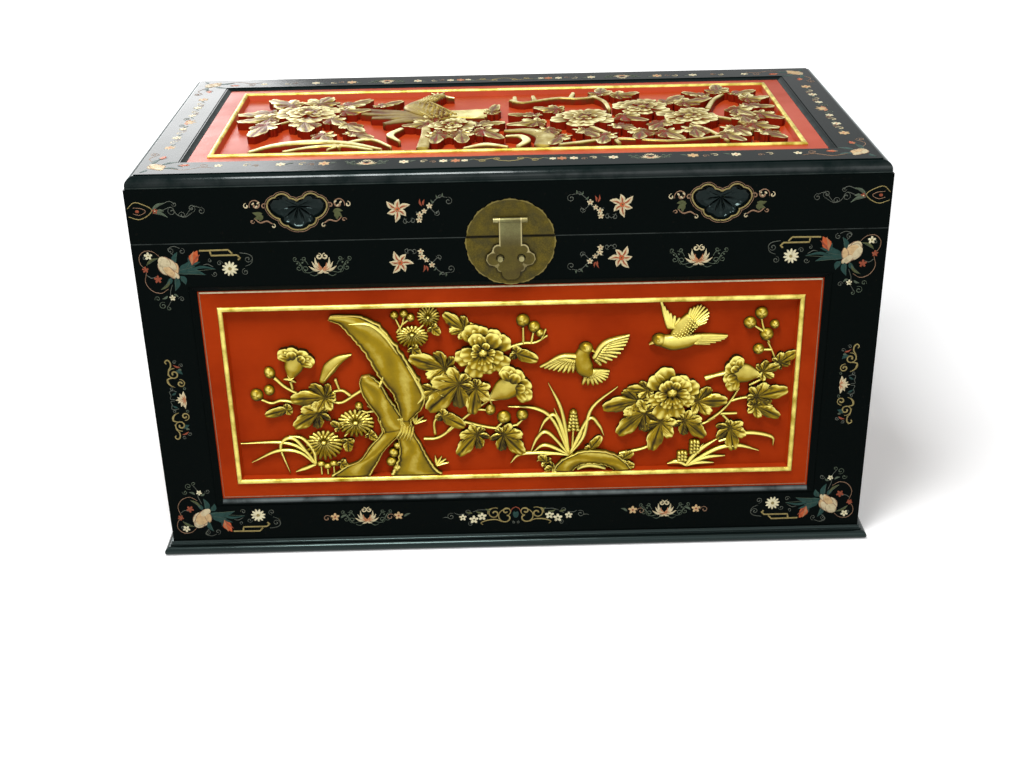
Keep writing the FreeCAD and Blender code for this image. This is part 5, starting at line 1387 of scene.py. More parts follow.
@dataclass
class FingerRecess:
    """A scooped finger recess in the lid's front: its lobed rim, fluted bowl and painted surround."""

    middle: Point
    width: float = 74.0
    height: float = 46.0
    depth: float = 12.0
    hub: float = 0.1
    flutes: int = 11
    swell: float = 3.2
    cusps: Sequence[Triple] = (
        (0.00, 0.56, 0.10), (0.27, 0.74, 0.32), (0.73, 0.80, 0.30), (0.97, 0.12, 0.12), (0.60, -0.36, 0.25),
        (0.36, -0.76, 0.14), (0.00, -1.00, 0.00),
    )

    def rim(self, samples: int = 9) -> Array:
        """The closed rim, against the clock from its lowest point: between cusps an arc whose sagitta is the
        given share of its chord, worked out from its angle.

        Args:
            samples: Samples in each arc.

        Returns:
            Points about the middle of the recess.
        """
        half = np.array([(x * self.width / 2, y * self.height / 2) for x, y, _ in self.cusps])
        bows = []
        for start, end, (_, _, bulge) in zip(half, half[1:], self.cusps):
            limit = 2 * math.atan(2 * bulge)
            turn = np.linspace(-limit, limit, samples, endpoint=False)[:, None]
            chord = end - start
            rise = -right_of(chord) * (np.cos(turn) - math.cos(limit)) / (2 * math.sin(limit))
            bows.append(start + chord * (np.sin(turn) / math.sin(limit) + 1) / 2 + rise)
        right = np.concatenate([*bows, half[-1:]])[::-1]
        return np.concatenate([right, right[::-1][1:-1] * (-1, 1)])

    def build(self, name: str, plane: Plane) -> Object:
        """Line the bowl with flutes: rings from a hub under the notch to the rim at the board's own depth,
        raised by a cosine of the angle about the hub, most half way out.

        Args:
            name: Name of the piece.
            plane: The lid's front face.

        Returns:
            The fluted lining.
        """
        hub = np.array([0.0, self.hub * self.height])
        spokes = self.rim(3) - hub
        fine = np.linspace(0, 1, 6, endpoint=False)[:, None]
        spokes = np.concatenate(
            [spokes[k - 1] + (spokes[k] - spokes[k - 1]) * fine for k in range(len(spokes))])
        share = np.linspace(0.05, 0.97, 18)[:, None]
        angle = np.arctan2(spokes[:, 0], -spokes[:, 1])[None]
        depth = self.depth * np.interp(share, (0.42, 0.74, 0.94, 1.0), (1.0, 0.8, 0.42, 0.0))
        fan = np.abs(np.cos(self.flutes * angle / 2)) ** 0.6 * np.clip(1.25 - np.abs(angle) / 2.2, 0, 1)
        level = 0.2 - depth + self.swell * np.sin(math.pi * share ** 0.8) * fan
        foot = -self.depth - 0.5
        flat = hub + spokes * share[..., None]
        flat = np.concatenate([flat, flat[-1:]])
        height = np.concatenate([level, np.full((1, len(spokes)), foot)])
        shells = Shells(Turnover(shift=self.middle))
        shells.add(flat, height, [(*hub, float(level[0].mean())), (*hub, foot)], 1.0)
        return shells.piece(name, plane, "lid", "black_lacquer")

    def paint(self, painter: Painter) -> None:
        """Gold line and a thin tan one round the rim, and scrolls, leaves and dabs on either side of it.

        Args:
            painter: Painter of the lid's front.
        """
        rim = self.rim()
        line = np.concatenate([rim, rim[:2]])
        out = right_of(unit(np.gradient(line, axis=0)))
        across = painter.shells.turnover.across
        painter.shells.turnover = Turnover(across, 1, (across * self.middle[0], self.middle[1]))
        for away, width, tint in ((1.6, 2.0, GOLD), (4.4, 0.7, TAN)):
            painter.sweep(line + out * away, np.full(len(line), width / 2), tint)
        for side in (-1, 1):
            motif = Motif((0, 0), side)
            painter.leaves(OLIVE, ((46, -1, 59, 0), (47, -2, 58, -9), (48, -2, 51, -12)), 6, motif)
            painter.stroke(motif.path(((57, -8), (50, -14), (41, -12), (34, -16))), [1.2, 2.0, 1.4], TAN)
            for x, y, radius, start, turns, width, tint in (
                    (54, 10, 8.5, 90 - side * 110, 1.1, 1.9, TAN),
                    (43, 8, 5, 90 + side * 90, -0.8, 1.5, TAN), (66, 9, 4, 90, -0.9, 1.7, CREAM),
                    (33, -19, 3.2, 90, 0.8, 1.6, CREAM), (60, -12, 3.2, 0, 0.9, 1.4, TAN)):
                painter.coil((side * x, y), radius, start, side * turns, width, tint)
            for place in motif.path(((53, 8), (57, 12), (50, 13))):
                painter.spot(place, (2.2, 1.2), CREAM, 40)


@dataclass
class LidEndPaint(Painter):
    """Painted skirt of one end of the lid: a lotus between two winged knots."""

    name: str = "lid_left_end"
    reach: float = 246.0

    def build(self) -> Object:
        """Paint the lotus and the knots.

        Returns:
            The painted work of the lid's end.
        """
        self.lotus((0, 497), 38)
        for hand in (1, -1):
            self.shells.turnover = Turnover(hand, 1, (hand * self.reach, 0.0))
            self.knot()
        return self.shells.piece(self.name + "_painting", self.plane, "lid", "black_lacquer")

    def knot(self) -> None:
        """The winged knot and its tendrils at the end of the skirt."""
        self.stroke(
            [(-497, 507), (-488, 515), (-476, 512), (-466, 505), (-472, 497), (-484, 492), (-497, 496)],
            [0.9, 1.2, 1.2, 0.9], GOLD, 26)
        self.stroke(
            [(-490, 508), (-480, 507), (-474, 503), (-482, 498), (-491, 500)], [0.6, 0.9, 0.6], TAN, 18)
        self.spot((-485, 503), (2.6, 2.0), BRICK)
        self.leaves(SAGE, ((-466, 503, -448, 514), (-466, 501, -446, 494), (-460, 502, -450, 503)), 4.5)
        self.flower((-462, 503), 4, 5, BRICK, CREAM)
        self.lines(
            SLATE,
            [[(-452, 504), (-440, 508), (-434, 498), (-424, 494), (-414, 500)],
             [(-424, 494), (-412, 508), (-402, 506)], [(-452, 512), (-442, 516), (-434, 512)]])
        self.curls(
            SLATE,
            [(-440, 502, 6, 90, 1.2), (-427, 497, 5, 200, -1.2), (-414, 506, 5.5, 270, 1.3),
             (-402, 502, 5, 90, -1.2), (-436, 512, 3.5, 180, 1.1)])


@dataclass
class LidFrontPaint(LidEndPaint):
    """Painted skirt of the lid's front: a knot, a finger recess's surround and a lily on either side."""

    recess: FingerRecess = field(kw_only=True)

    def build(self) -> Object:
        """Paint both halves.

        Returns:
            The painted work of the lid's front.
        """
        for hand in (1, -1):
            self.shells.turnover = Turnover(across=hand)
            self.spray((-147, 498))
            self.knot()
            self.recess.paint(self)
        return self.shells.piece("lid_front_painting", self.plane, "lid", "black_lacquer")


@dataclass
class LidTopPaint(Painter):
    """Painted frame of the lid's top, drawn in one quarter and turned over to the others."""

    row_level: float = -217.0
    side_line: float = -463.0

    def build(self) -> Object:
        """Paint the four quarters.

        Returns:
            The painted work of the lid's top.
        """
        for hand in (1, -1):
            for upright in (1, -1):
                self.shells.turnover = Turnover(hand, upright)
                self.row()
                self.side()
                self.corner()
        return self.shells.piece("lid_top_painting", self.plane, "lid", "black_lacquer")

    def row(self) -> None:
        """Motifs along the front or back length of the frame, left of the middle."""
        motif = Motif((0, self.row_level))
        self.lotus(motif.spot(-187, 0), 28)
        for across, radius, tint in (
                (-300, 7, WHITE), (-243, 8, BLUSH), (-138, 7, WHITE), (-86, 6, WHITE),
                (-70, 7, PEACH), (-58, 5, WHITE)):
            self.flower(motif.spot(across, 0), radius, 6, tint, ORANGE)
            self.leaves(SAGE, [(across + radius, 0, across + radius + 9, 5)], 3.4, motif)
        for across in (-345, -272, -112):
            self.coil(motif.spot(across, 0), 6, 30, 0.8, 1.5, CREAM)
            self.coil(motif.spot(across + 13, -3), 5, 200, -1.1, 1.1, TAN)
        self.stroke(
            motif.path(((0, -7), (-12, -3), (-22, 6), (-36, 0), (-46, 4))), [2.0, 1.6, 0.8], GOLD, 18)
        self.coil(motif.spot(-15, 5), 6, -90, -1.2, 1.5, GOLD)
        self.coil(motif.spot(-34, -3), 6, 90, 1.2, 1.3, GOLD)

    def side(self) -> None:
        """Motifs along one half of an end length of the frame."""
        motif = Motif((self.side_line, 0))
        for level, radius, tint in ((-128, 8, BLUSH), (-80, 7, WHITE), (-36, 6, WHITE)):
            self.flower(motif.spot(0, level), radius, 6, tint, ORANGE)
            self.leaves(SAGE, [(0, level + radius, 5, level + radius + 9)], 3.4, motif)
        for level in (-104, -58):
            self.coil(motif.spot(0, level), 7, 30, 0.8, 1.8, CREAM)
            self.coil(motif.spot(4, level + 12), 5, 200, -1.1, 1.1, TAN)
        for angle, tint in ((0, BLUSH), (36, BLUSH), (72, PEACH)):
            tip = motif.spot(-3, 0) + heading(math.radians(-angle)) * (16, 15)
            self.leaf(motif.spot(-3, -1), tip, 6, tint, 0.0)
        self.coil(motif.spot(-4, -18), 6, 90, 1.2, 1.2, SAGE)

    def corner(self) -> None:
        """A rose with leaves, buds and tendrils in the corner of the frame."""
        self.veined(
            ((-458, -208, -438, -196, 8, LEAF), (-456, -222, -432, -228, 8, LEAF),
             (-470, -204, -464, -180, 8, LEAF), (-474, -226, -480, -240, 6, LEAF)), [0.5, 0.7, 0.3])
        self.rose((-464, -216), 14)
        self.bud((-428, -212), 8, 10)
        self.bud((-462, -176), 8, 80)
        self.stroke([(-446, -224), (-424, -232), (-404, -222), (-386, -226)], [0.8, 1.4, 0.7], TAN)
        self.coil((-402, -214), 7, -90, 1.2, 1.2, TAN)
        self.flower((-382, -216), 6, 5, WHITE, PEACH)
        self.stroke([(-472, -196), (-480, -178), (-470, -160)], [0.8, 1.3, 0.7], TAN)
        self.coil((-478, -160), 6, 0, 1.2, 1.1, TAN)


# Finishes
@dataclass
class Graph:
    """Short calls for the nodes of one tree."""

    tree: Tree

    def put(self, node: Node, inputs: dict) -> None:
        """Link sockets to a node's inputs or set their values; a colour is given without its alpha.

        Args:
            node: Node to fill.
            inputs: Values or sockets by input name or number.
        """
        for key, value in inputs.items():
            target = node.inputs[key]
            if isinstance(value, Socket):
                self.tree.links.new(value, target)
            else:
                target.default_value = (*value, 1.0) if target.type == "RGBA" else value

    def node(self, kind: str, inputs: dict | None = None, **settings: object) -> Node:
        """Add a node, set it up and fill its inputs.

        Args:
            kind: Node type.
            inputs: Values or sockets by input name or number.
            settings: Properties of the node.

        Returns:
            The new node.
        """
        node = self.tree.nodes.new(kind)
        for name, value in settings.items():
            setattr(node, name, value)
        self.put(node, inputs or {})
        return node

    def place(self) -> Socket:
        """The piece's own coordinates, in metres of the chest's frame."""
        return self.node("ShaderNodeTexCoord").outputs["Object"]

    def axes(self) -> Sockets:
        """The piece's coordinates one by one."""
        return self.node("ShaderNodeSeparateXYZ", {0: self.place()}).outputs

    def noise(self, scale: object, detail: float = 4.0, roughness: float = 0.6) -> Socket:
        """A cloud value over the surface."""
        inputs = {"Vector": self.place(), "Scale": scale, "Detail": detail, "Roughness": roughness}
        return self.node("ShaderNodeTexNoise", inputs).outputs["Fac"]

    def math(self, kind: str, first: object, second: object = 0.0, third: object = 0.0) -> Socket:
        """One step of arithmetic."""
        return self.node("ShaderNodeMath", {0: first, 1: second, 2: third}, operation=kind).outputs[0]

    def line(self, value: object, slope: object, start: object) -> Socket:
        """A value times a slope, and a start added."""
        return self.math("MULTIPLY_ADD", value, slope, start)

    def apart(self, value: object, level: object) -> Socket:
        """How far a value is from a level, either way."""
        return self.math("ABSOLUTE", self.math("SUBTRACT", value, level))

    def length(self, vector: Socket) -> Socket:
        """The length of a vector."""
        return self.node("ShaderNodeVectorMath", {0: vector}, operation="LENGTH").outputs["Value"]

    def reach(self, across: Socket, up: Socket, at: Point) -> Socket:
        """The distance of a place, given by its two coordinates on the front, from a point there."""
        inputs = {"X": self.math("SUBTRACT", across, at[0]), "Z": self.math("SUBTRACT", up, at[1])}
        return self.length(self.node("ShaderNodeCombineXYZ", inputs).outputs[0])

    def limits(
            self, value: Socket, low: float, high: float, to_low: float = 0.0,
            to_high: float = 1.0) -> Socket:
        """Carry a range of a value onto another range, smoothly and held at both ends.

        Args:
            value: The value.
            low: Start of its range.
            high: End of its range.
            to_low: What the start becomes.
            to_high: What the end becomes.

        Returns:
            The carried value.
        """
        inputs = {"Value": value, "From Min": low, "From Max": high, "To Min": to_low, "To Max": to_high}
        return self.node("ShaderNodeMapRange", inputs, interpolation_type="SMOOTHSTEP").outputs["Result"]

    def mix(self, share: object, first: object, second: object, blend: str = "MIX") -> Socket:
        """Mix two colours by a share."""
        return self.node(
            "ShaderNodeMix", {0: share, 6: first, 7: second}, data_type="RGBA", blend_type=blend).outputs[2]

    def over(self, below: object, above: object, mask: Socket, share: float) -> Socket:
        """Lay a colour over another by a share of a mask."""
        return self.mix(self.math("MULTIPLY", mask, share), below, above)

    def ramp(self, value: Socket, stops: Sequence[tuple[float, Triple]]) -> Socket:
        """Turn a value into a colour through stops.

        Args:
            value: The value.
            stops: Place and colour of each stop.

        Returns:
            The colour.
        """
        node = self.node("ShaderNodeValToRGB", {"Fac": value})
        elements = node.color_ramp.elements
        while len(elements) < len(stops):
            elements.new(0.5)
        for element, (place, colour) in zip(elements, stops):
            element.position, element.color = place, (*colour, 1.0)
        return node.outputs["Color"]

    def group(self, tree: Tree, **inputs: float) -> Sockets:
        """Place a shared effect with its own values, underscores for the spaces in their names."""
        values = {name.replace("_", " "): value for name, value in inputs.items()}
        return self.node("ShaderNodeGroup", values, node_tree=tree).outputs

    def attribute(self, name: str) -> Sockets:
        """Read an attribute of the mesh."""
        return self.node("ShaderNodeAttribute", attribute_name=name).outputs

    def bump(self, height: Socket, strength: float, depth: float) -> Socket:
        """A normal from a height, depth in metres."""
        inputs = {"Height": height, "Strength": strength, "Distance": depth}
        return self.node("ShaderNodeBump", inputs).outputs["Normal"]

    def seen(self) -> Socket:
        """One for rays from the camera and for rays in a reflection or through glass.

        Returns:
            The value.
        """
        path = self.node("ShaderNodeLightPath").outputs
        total = self.math("ADD", path["Is Camera Ray"], path["Is Glossy Ray"])
        return self.math("MINIMUM", self.math("ADD", total, path["Is Transmission Ray"]), 1.0)


class SharedEffects:
    """Effects that several finishes use, each built once as a node group."""

    def __init__(self) -> None:
        """Build every group."""
        self.wear = self.make_wear()
        self.edge = self.make_rub_and_highlight()
        self.inside = self.make_inside()
        self.grain = self.make_grain()

    @staticmethod
    def start(name: str, inputs: dict[str, float], outputs: Sequence[str]) -> tuple[Graph, Sockets, Node]:
        """Open a group with float sockets.

        Args:
            name: Name of the group.
            inputs: Input names and first values.
            outputs: Output names.

        Returns:
            The graph, the sockets of its inputs and its output node.
        """
        tree = bpy.data.node_groups.new(name, "ShaderNodeTree")
        for label, value in inputs.items():
            socket = tree.interface.new_socket(label, in_out="INPUT", socket_type="NodeSocketFloat")
            socket.default_value = value
        for label in outputs:
            tree.interface.new_socket(label, in_out="OUTPUT", socket_type="NodeSocketFloat")
        graph = Graph(tree)
        return graph, graph.node("NodeGroupInput").outputs, graph.node("NodeGroupOutput")

    def make_wear(self) -> Tree:
        """Rubbed patches and fine specks: two clouds cut at a threshold that the amount lowers.

        Returns:
            The group.
        """
        graph, source, sink = self.start("rubbed_wear", {"Scale": 9.0, "Amount": 0.3}, ("Patches", "Specks"))
        broad = graph.noise(source["Scale"], 6.0, 0.5)
        fine = graph.noise(graph.math("MULTIPLY", source["Scale"], 26.0), 3.0, 0.5)
        for label, cloud, top in (("Patches", broad, 0.95), ("Specks", fine, 0.98)):
            floor = graph.line(source["Amount"], -0.5, top - 0.1)
            mask = graph.node("ShaderNodeMapRange", {"Value": cloud, "From Min": floor, "From Max": top})
            graph.put(sink, {label: mask.outputs["Result"]})
        return graph.tree

    def make_rub_and_highlight(self) -> Tree:
        """A pale line along an edge at one height, partly rubbed wear and partly painted highlight: one less
        the distance over the width.

        Returns:
            The group.
        """
        graph, source, sink = self.start("rubbed_and_highlight_edge", {"Level": 0.48, "Width": 0.0011}, ("Mask",))
        away = graph.apart(graph.axes()["Z"], source["Level"])
        near = graph.math("SUBTRACT", 1.0, graph.math("DIVIDE", away, source["Width"]))
        broken = graph.limits(graph.noise(30.0), 0.3, 0.6, 0.3, 1.0)
        graph.put(sink, {"Mask": graph.math("MULTIPLY", graph.math("MAXIMUM", near, 0.0), broken)})
        return graph.tree

    def make_inside(self) -> Tree:
        """Mask of the unlacquered inside: one within the walls across and along, and under the top.

        Returns:
            The group.
        """
        walls = {"Half Width": 0.4785, "Half Depth": 0.2385, "Top": 0.5535}
        graph, source, sink = self.start("bare_inside", walls, ("Mask",))
        parts = graph.axes()
        across = graph.math("LESS_THAN", graph.math("ABSOLUTE", parts["X"]), source["Half Width"])
        along = graph.math("LESS_THAN", graph.math("ABSOLUTE", parts["Y"]), source["Half Depth"])
        below = graph.math("LESS_THAN", parts["Z"], source["Top"])
        graph.put(sink, {"Mask": graph.math("MULTIPLY", graph.math("MULTIPLY", across, along), below)})
        return graph.tree

    def make_grain(self) -> Tree:
        """Wood grain along the chest's length: a cloud stretched along x, and fine pores drawn out further.

        Returns:
            The group.
        """
        graph, source, sink = self.start("wood_grain", {"Scale": 30.0}, ("Grain", "Pores"))
        for label, stretch, share in (("Grain", (0.12, 1.0, 1.0), 1.0), ("Pores", (0.05, 2.0, 2.0), 6.0)):
            drawn = graph.node(
                "ShaderNodeMapping", {"Vector": graph.place(), "Scale": stretch}).outputs["Vector"]
            scale = graph.math("MULTIPLY", source["Scale"], share)
            inputs = {"Vector": drawn, "Scale": scale, "Detail": 8.0, "Distortion": 0.6}
            graph.put(sink, {label: graph.node("ShaderNodeTexNoise", inputs).outputs["Fac"]})
        return graph.tree


@dataclass(frozen=True)
class Finish:
    """What every finish shares: a name, and how its material is made."""

    name: str

    def make(self, effects: SharedEffects) -> bpy.types.Material:
        """Make the material, one principled shader with the finish's own inputs.

        Args:
            effects: The shared effects.

        Returns:
            The material.
        """
        material = bpy.data.materials.new(self.name)
        material.use_nodes = True
        graph = Graph(material.node_tree)
        graph.put(graph.tree.nodes["Principled BSDF"], self.inputs(graph, effects))
        return material

    def inputs(self, graph: Graph, effects: SharedEffects) -> dict[str, object]:
        """Sockets and values of the shader's inputs."""
        raise NotImplementedError(self.name)


@dataclass(frozen=True)
class BlackLacquer(Finish):
    """Polished black lacquer with rubbed patches, a pale line along one edge, partly rubbed and partly
    painted highlight, and bare reddish wood inside.
    """

    black: Triple = (0.0012, 0.0022, 0.0020)
    rubbed: Triple = (0.004, 0.006, 0.0055)
    speck: Triple = (0.02, 0.015, 0.011)
    bare: Triple = (0.16, 0.075, 0.035)
    dark: Triple = (0.088, 0.04125, 0.01925)
    specular: float = 0.022
    polish: float = 0.14
    # the next three set the level, width and colour of a pale line along an edge: partly rubbed lacquer,
    # partly painted highlight
    edge: float = 0.4776
    rub_and_highlight: float = 0.0011
    line: Triple = (0.06, 0.072, 0.066)
    gloss: Point = (0.5605, 0.0075)
    coated: float = 0.0
    sheen: Triple = (0.8, 1.0, 0.97)

    def inputs(self, graph: Graph, effects: SharedEffects) -> dict[str, object]:
        """Sockets and values of the shader's inputs.

        Args:
            graph: Graph of the material.
            effects: The shared effects.

        Returns:
            What each input gets.
        """
        wear = graph.group(effects.wear, Scale=7.0, Amount=0.42)
        grain = graph.group(effects.grain, Scale=26.0)
        inside = graph.group(effects.inside)["Mask"]
        rub_and_highlight = graph.group(effects.edge, Level=self.edge, Width=self.rub_and_highlight)["Mask"]
        gloss = graph.group(effects.edge, Level=self.gloss[0], Width=self.gloss[1])["Mask"]
        lacquer = graph.over(self.black, self.rubbed, wear["Patches"], 0.55)
        lacquer = graph.over(lacquer, self.speck, wear["Specks"], 0.5)
        # the pale line along the edge: rubbed lacquer and painted highlight
        lacquer = graph.over(lacquer, self.line, rub_and_highlight, 0.8)
        wood = graph.mix(grain["Grain"], self.dark, self.bare)
        rough = graph.line(wear["Patches"], 0.2, graph.line(graph.noise(11.0), 0.2, self.polish))
        ripple = graph.line(grain["Grain"], 0.6, graph.noise(160.0, 2.0))
        return {
            "Base Color": graph.mix(inside, lacquer, wood),
            "Roughness": graph.line(inside, 0.42, rough),
            "Normal": graph.bump(ripple, 0.08, 0.0006),
            "Coat Weight": graph.math("MULTIPLY", gloss, self.coated),
            "Coat Tint": self.sheen,
            "Coat Roughness": 0.12,
            "Specular IOR Level": self.specular,
            "Specular Tint": self.sheen,
        }


@dataclass(frozen=True)
class RedLacquer(Finish):
    """Satin vermilion lacquer, darker in clouds and lighter along brushed lines, bare wood behind."""

    red: Triple = (0.345, 0.031, 0.0025)
    deep: Triple = (0.25, 0.019, 0.0014)
    bare: Triple = (0.16, 0.075, 0.035)
    speck: Triple = (0.12, 0.012, 0.006)
    brushed: Triple = (0.5, 0.06, 0.010)
    specular: float = 0.022

    def inputs(self, graph: Graph, effects: SharedEffects) -> dict[str, object]:
        """Sockets and values of the shader's inputs.

        Args:
            graph: Graph of the material.
            effects: The shared effects.

        Returns:
            What each input gets.
        """
        wear = graph.group(effects.wear, Scale=10.0, Amount=0.3)
        grain = graph.group(effects.grain, Scale=34.0)
        inside = graph.group(effects.inside, Half_Depth=0.2415, Half_Width=0.4815, Top=0.5482)["Mask"]
        cloud = graph.noise(8.0, 6.0)
        colour = graph.mix(graph.limits(cloud, 0.35, 0.72), self.red, self.deep)
        colour = graph.over(colour, self.speck, wear["Specks"], 0.5)
        colour = graph.over(colour, self.brushed, grain["Pores"], 0.14)
        height = graph.line(grain["Grain"], 0.7, graph.noise(240.0, 2.0))
        return {
            "Base Color": graph.mix(inside, colour, self.bare),
            "Roughness": graph.line(cloud, 0.3, 0.26),
            "Normal": graph.bump(height, 0.12, 0.0006),
            "Specular IOR Level": self.specular,
        }


@dataclass(frozen=True)
class Gilding(Finish):
    """Leaf gilding over carved wood, coloured through a ramp by the carved tone, or by a cloud on plain
    strips:
    the ground coat in walls and crevices, dark on the front where it is also painted shade, an olive painted
    shade, gold, and pale crowns that are painted highlights."""

    # colours of the ramp: the walls' ground coat (on the front also painted shade), painted shade, gold and
    # a pale painted highlight
    wall: Triple = (0.014, 0.008, 0.002)
    shade: Triple = (0.080, 0.056, 0.006)
    gold: Triple = (0.31, 0.205, 0.007)
    crown: Triple = (0.90, 0.79, 0.20)
    worn: Triple = (0.20, 0.075, 0.02)
    shine: float = 0.42
    mottle: float = 0.36
    carved: bool = True

    def inputs(self, graph: Graph, effects: SharedEffects) -> dict[str, object]:
        """Sockets and values of the shader's inputs.

        Args:
            graph: Graph of the material.
            effects: The shared effects.

        Returns:
            What each input gets.
        """
        wear = graph.group(effects.wear, Scale=16.0, Amount=0.5)
        cloud = graph.noise(38.0, 5.0)
        tone = graph.attribute("tone")["Fac"] if self.carved else graph.limits(cloud, 0.1, 0.7, 0.55, 0.95)
        # the carved tone's painted shade and highlights, with a cloud, become colour through the ramp
        value = graph.math("ADD", tone, graph.line(cloud, self.mottle, -0.5 * self.mottle))
        colour = graph.ramp(
            value, ((0.05, self.wall), (0.26, self.shade), (0.6, self.gold), (0.98, self.crown)))
        colour = graph.over(colour, self.worn, wear["Patches"], 0.4)
        height = graph.line(cloud, 1.2, graph.noise(420.0, 3.0))
        return {
            "Base Color": graph.over(colour, self.wall, wear["Specks"], 0.6),
            "Metallic": graph.limits(value, 0.1, 0.6, 0.0, self.shine),
            "Roughness": graph.line(graph.noise(90.0, 3.0), 0.3, 0.2),
            "Normal": graph.bump(height, 0.25, 0.0007),
            "Specular IOR Level": 0.08,
        }


@dataclass(frozen=True)
class AgedBrass(Finish):
    """Dull brass: olive tarnish in clouds, small dark pits, chased lines, a pale rim of painted highlight
    and rubbed brass, a tinted foot, and painted shade along the joint that also reads as grime. The hasp's
    outline
    is a union of circles: a painted shadow on the plate beside and below it, and along its own edge a pale
    band, brighter higher up, of painted highlight and rubbed brass."""

    clean: Triple = (0.125, 0.093, 0.014)
    tarnish: Triple = (0.040, 0.033, 0.006)
    pit: Triple = (0.014, 0.011, 0.003)
    foot: Triple = (1.0, 1.0, 1.0)
    chased: float = 0.3
    middle: float = 0.470
    rim: float = 0.0592
    joint: float = 0.4783
    # strength of the painted shade and shadow along the joint and beside the hasp, then of the hasp's pale
    # edge (painted highlight and rubbed brass)
    beside: float = 0.85
    rubbed: float = 0.0
    green: Triple = (0.055, 0.060, 0.022)
    # colours of the rim's painted highlight, of the painted shade and shadow along the joint and round the
    # hasp, and of the hasp's pale edge
    bright: Triple = (0.24, 0.19, 0.055)
    shadow_and_grime: Triple = (0.004, 0.003, 0.001)
    handled_and_highlight: Triple = (0.42, 0.36, 0.17)
    lobes: Sequence[Triple] = (
        (0.0165, 0.4605, 0.0076), (0.0227, 0.4481, 0.01015), (0.0128, 0.4358, 0.0060),
        (0.0028, 0.4281, 0.0095), (0.0, 0.4480, 0.0190))

    def inputs(self, graph: Graph, effects: SharedEffects) -> dict[str, object]:
        """Sockets and values of the shader's inputs.

        Args:
            graph: Graph of the material.
            effects: The shared effects.

        Returns:
            What each input gets.
        """
        wear = graph.group(effects.wear, Scale=24.0, Amount=0.55)
        cloud, fine = graph.noise(46.0, 7.0), graph.noise(300.0, 4.0)
        colour = graph.mix(graph.limits(cloud, 0.25, 0.8), self.tarnish, self.clean)
        colour = graph.over(colour, self.pit, wear["Specks"], 0.8)
        colour = graph.over(colour, self.green, wear["Patches"], 0.5)
        cells = graph.node(
            "ShaderNodeTexVoronoi", {"Vector": graph.place(), "Scale": 330.0}, feature="DISTANCE_TO_EDGE")
        lines = graph.limits(cells.outputs["Distance"], 0.03, 0.12, self.chased, 0.0)
        colour = graph.mix(lines, colour, self.pit)
        parts = graph.axes()
        # a pale rim along the plate's edge: painted highlight and rubbed brass
        off = graph.apart(graph.reach(parts["X"], parts["Z"], (0.0, self.middle)), self.rim)
        colour = graph.mix(graph.limits(off, 0.0, 0.0016, 0.7, 0.0), colour, self.bright)
        low = graph.limits(parts["Z"], self.middle + 0.014, self.middle - 0.008)
        colour = graph.mix(low, colour, self.foot, "MULTIPLY")
        # painted shade along the joint of the plate's halves, which also reads as grime, and a painted
        # shadow of the hasp on the plate, its outline moved down
        joint_shade_and_grime = graph.limits(graph.apart(parts["Z"], self.joint), 0.0012, 0.0026, 1.0, 0.0)
        shadow = graph.limits(self.outline(graph, parts, 0.0018), 0.0, 0.0042, 0.85, 0.0)
        colour = graph.over(colour, self.shadow_and_grime, graph.math("MAXIMUM", joint_shade_and_grime, shadow), self.beside)
        # a pale band just inside the hasp's edge, brighter higher up: painted highlight on its upper lobes
        # and rubbed brass
        worn = graph.limits(self.outline(graph, parts, 0.0), -0.0022, -0.0008, 0.0, self.rubbed)
        worn = graph.math("MULTIPLY", worn, graph.limits(parts["Z"], 0.430, 0.466, 0.25, 1.0))
        return {
            "Base Color": graph.mix(worn, colour, self.handled_and_highlight),
            "Metallic": graph.limits(cloud, 0.2, 0.7, 0.65, 0.95),
            "Roughness": graph.line(fine, 0.3, 0.3),
            "Normal": graph.bump(fine, 0.25, 0.0004),
        }

    def outline(self, graph: Graph, parts: Sockets, drop: float) -> Socket:
        """Distance from the hasp's outline, under nought within it: the least over the lobes of the distance
        from a lobe's middle less its radius.

        Args:
            graph: Graph of the material.
            parts: The three coordinates.
            drop: How far the outline is moved down.

        Returns:
            The distance in metres.
        """
        across = graph.math("ABSOLUTE", parts["X"])
        least: object = graph.math("SUBTRACT", across, 0.015) if drop == 0.0 else 1.0
        for x, z, radius in self.lobes:
            away = graph.math("SUBTRACT", graph.reach(across, parts["Z"], (x, z - drop)), radius)
            least = graph.math("MINIMUM", least, away)
        return least


@dataclass(frozen=True)
class BareWood(Finish):
    """Plain planed boards with grain along the chest."""

    light: Triple = (0.36, 0.21, 0.10)
    dark: Triple = (0.17, 0.085, 0.036)
    pore: Triple = (0.07, 0.034, 0.016)

    def inputs(self, graph: Graph, effects: SharedEffects) -> dict[str, object]:
        """Sockets and values of the shader's inputs.

        Args:
            graph: Graph of the material.
            effects: The shared effects.

        Returns:
            What each input gets.
        """
        grain = graph.group(effects.grain, Scale=22.0)
        colour = graph.mix(graph.limits(grain["Grain"], 0.35, 0.7), self.light, self.dark)
        return {
            "Base Color": graph.mix(graph.limits(grain["Pores"], 0.58, 0.75, 0.0, 0.5), colour, self.pore),
            "Roughness": graph.line(grain["Pores"], 0.25, 0.5),
            "Normal": graph.bump(grain["Pores"], 0.3, 0.0008),
        }


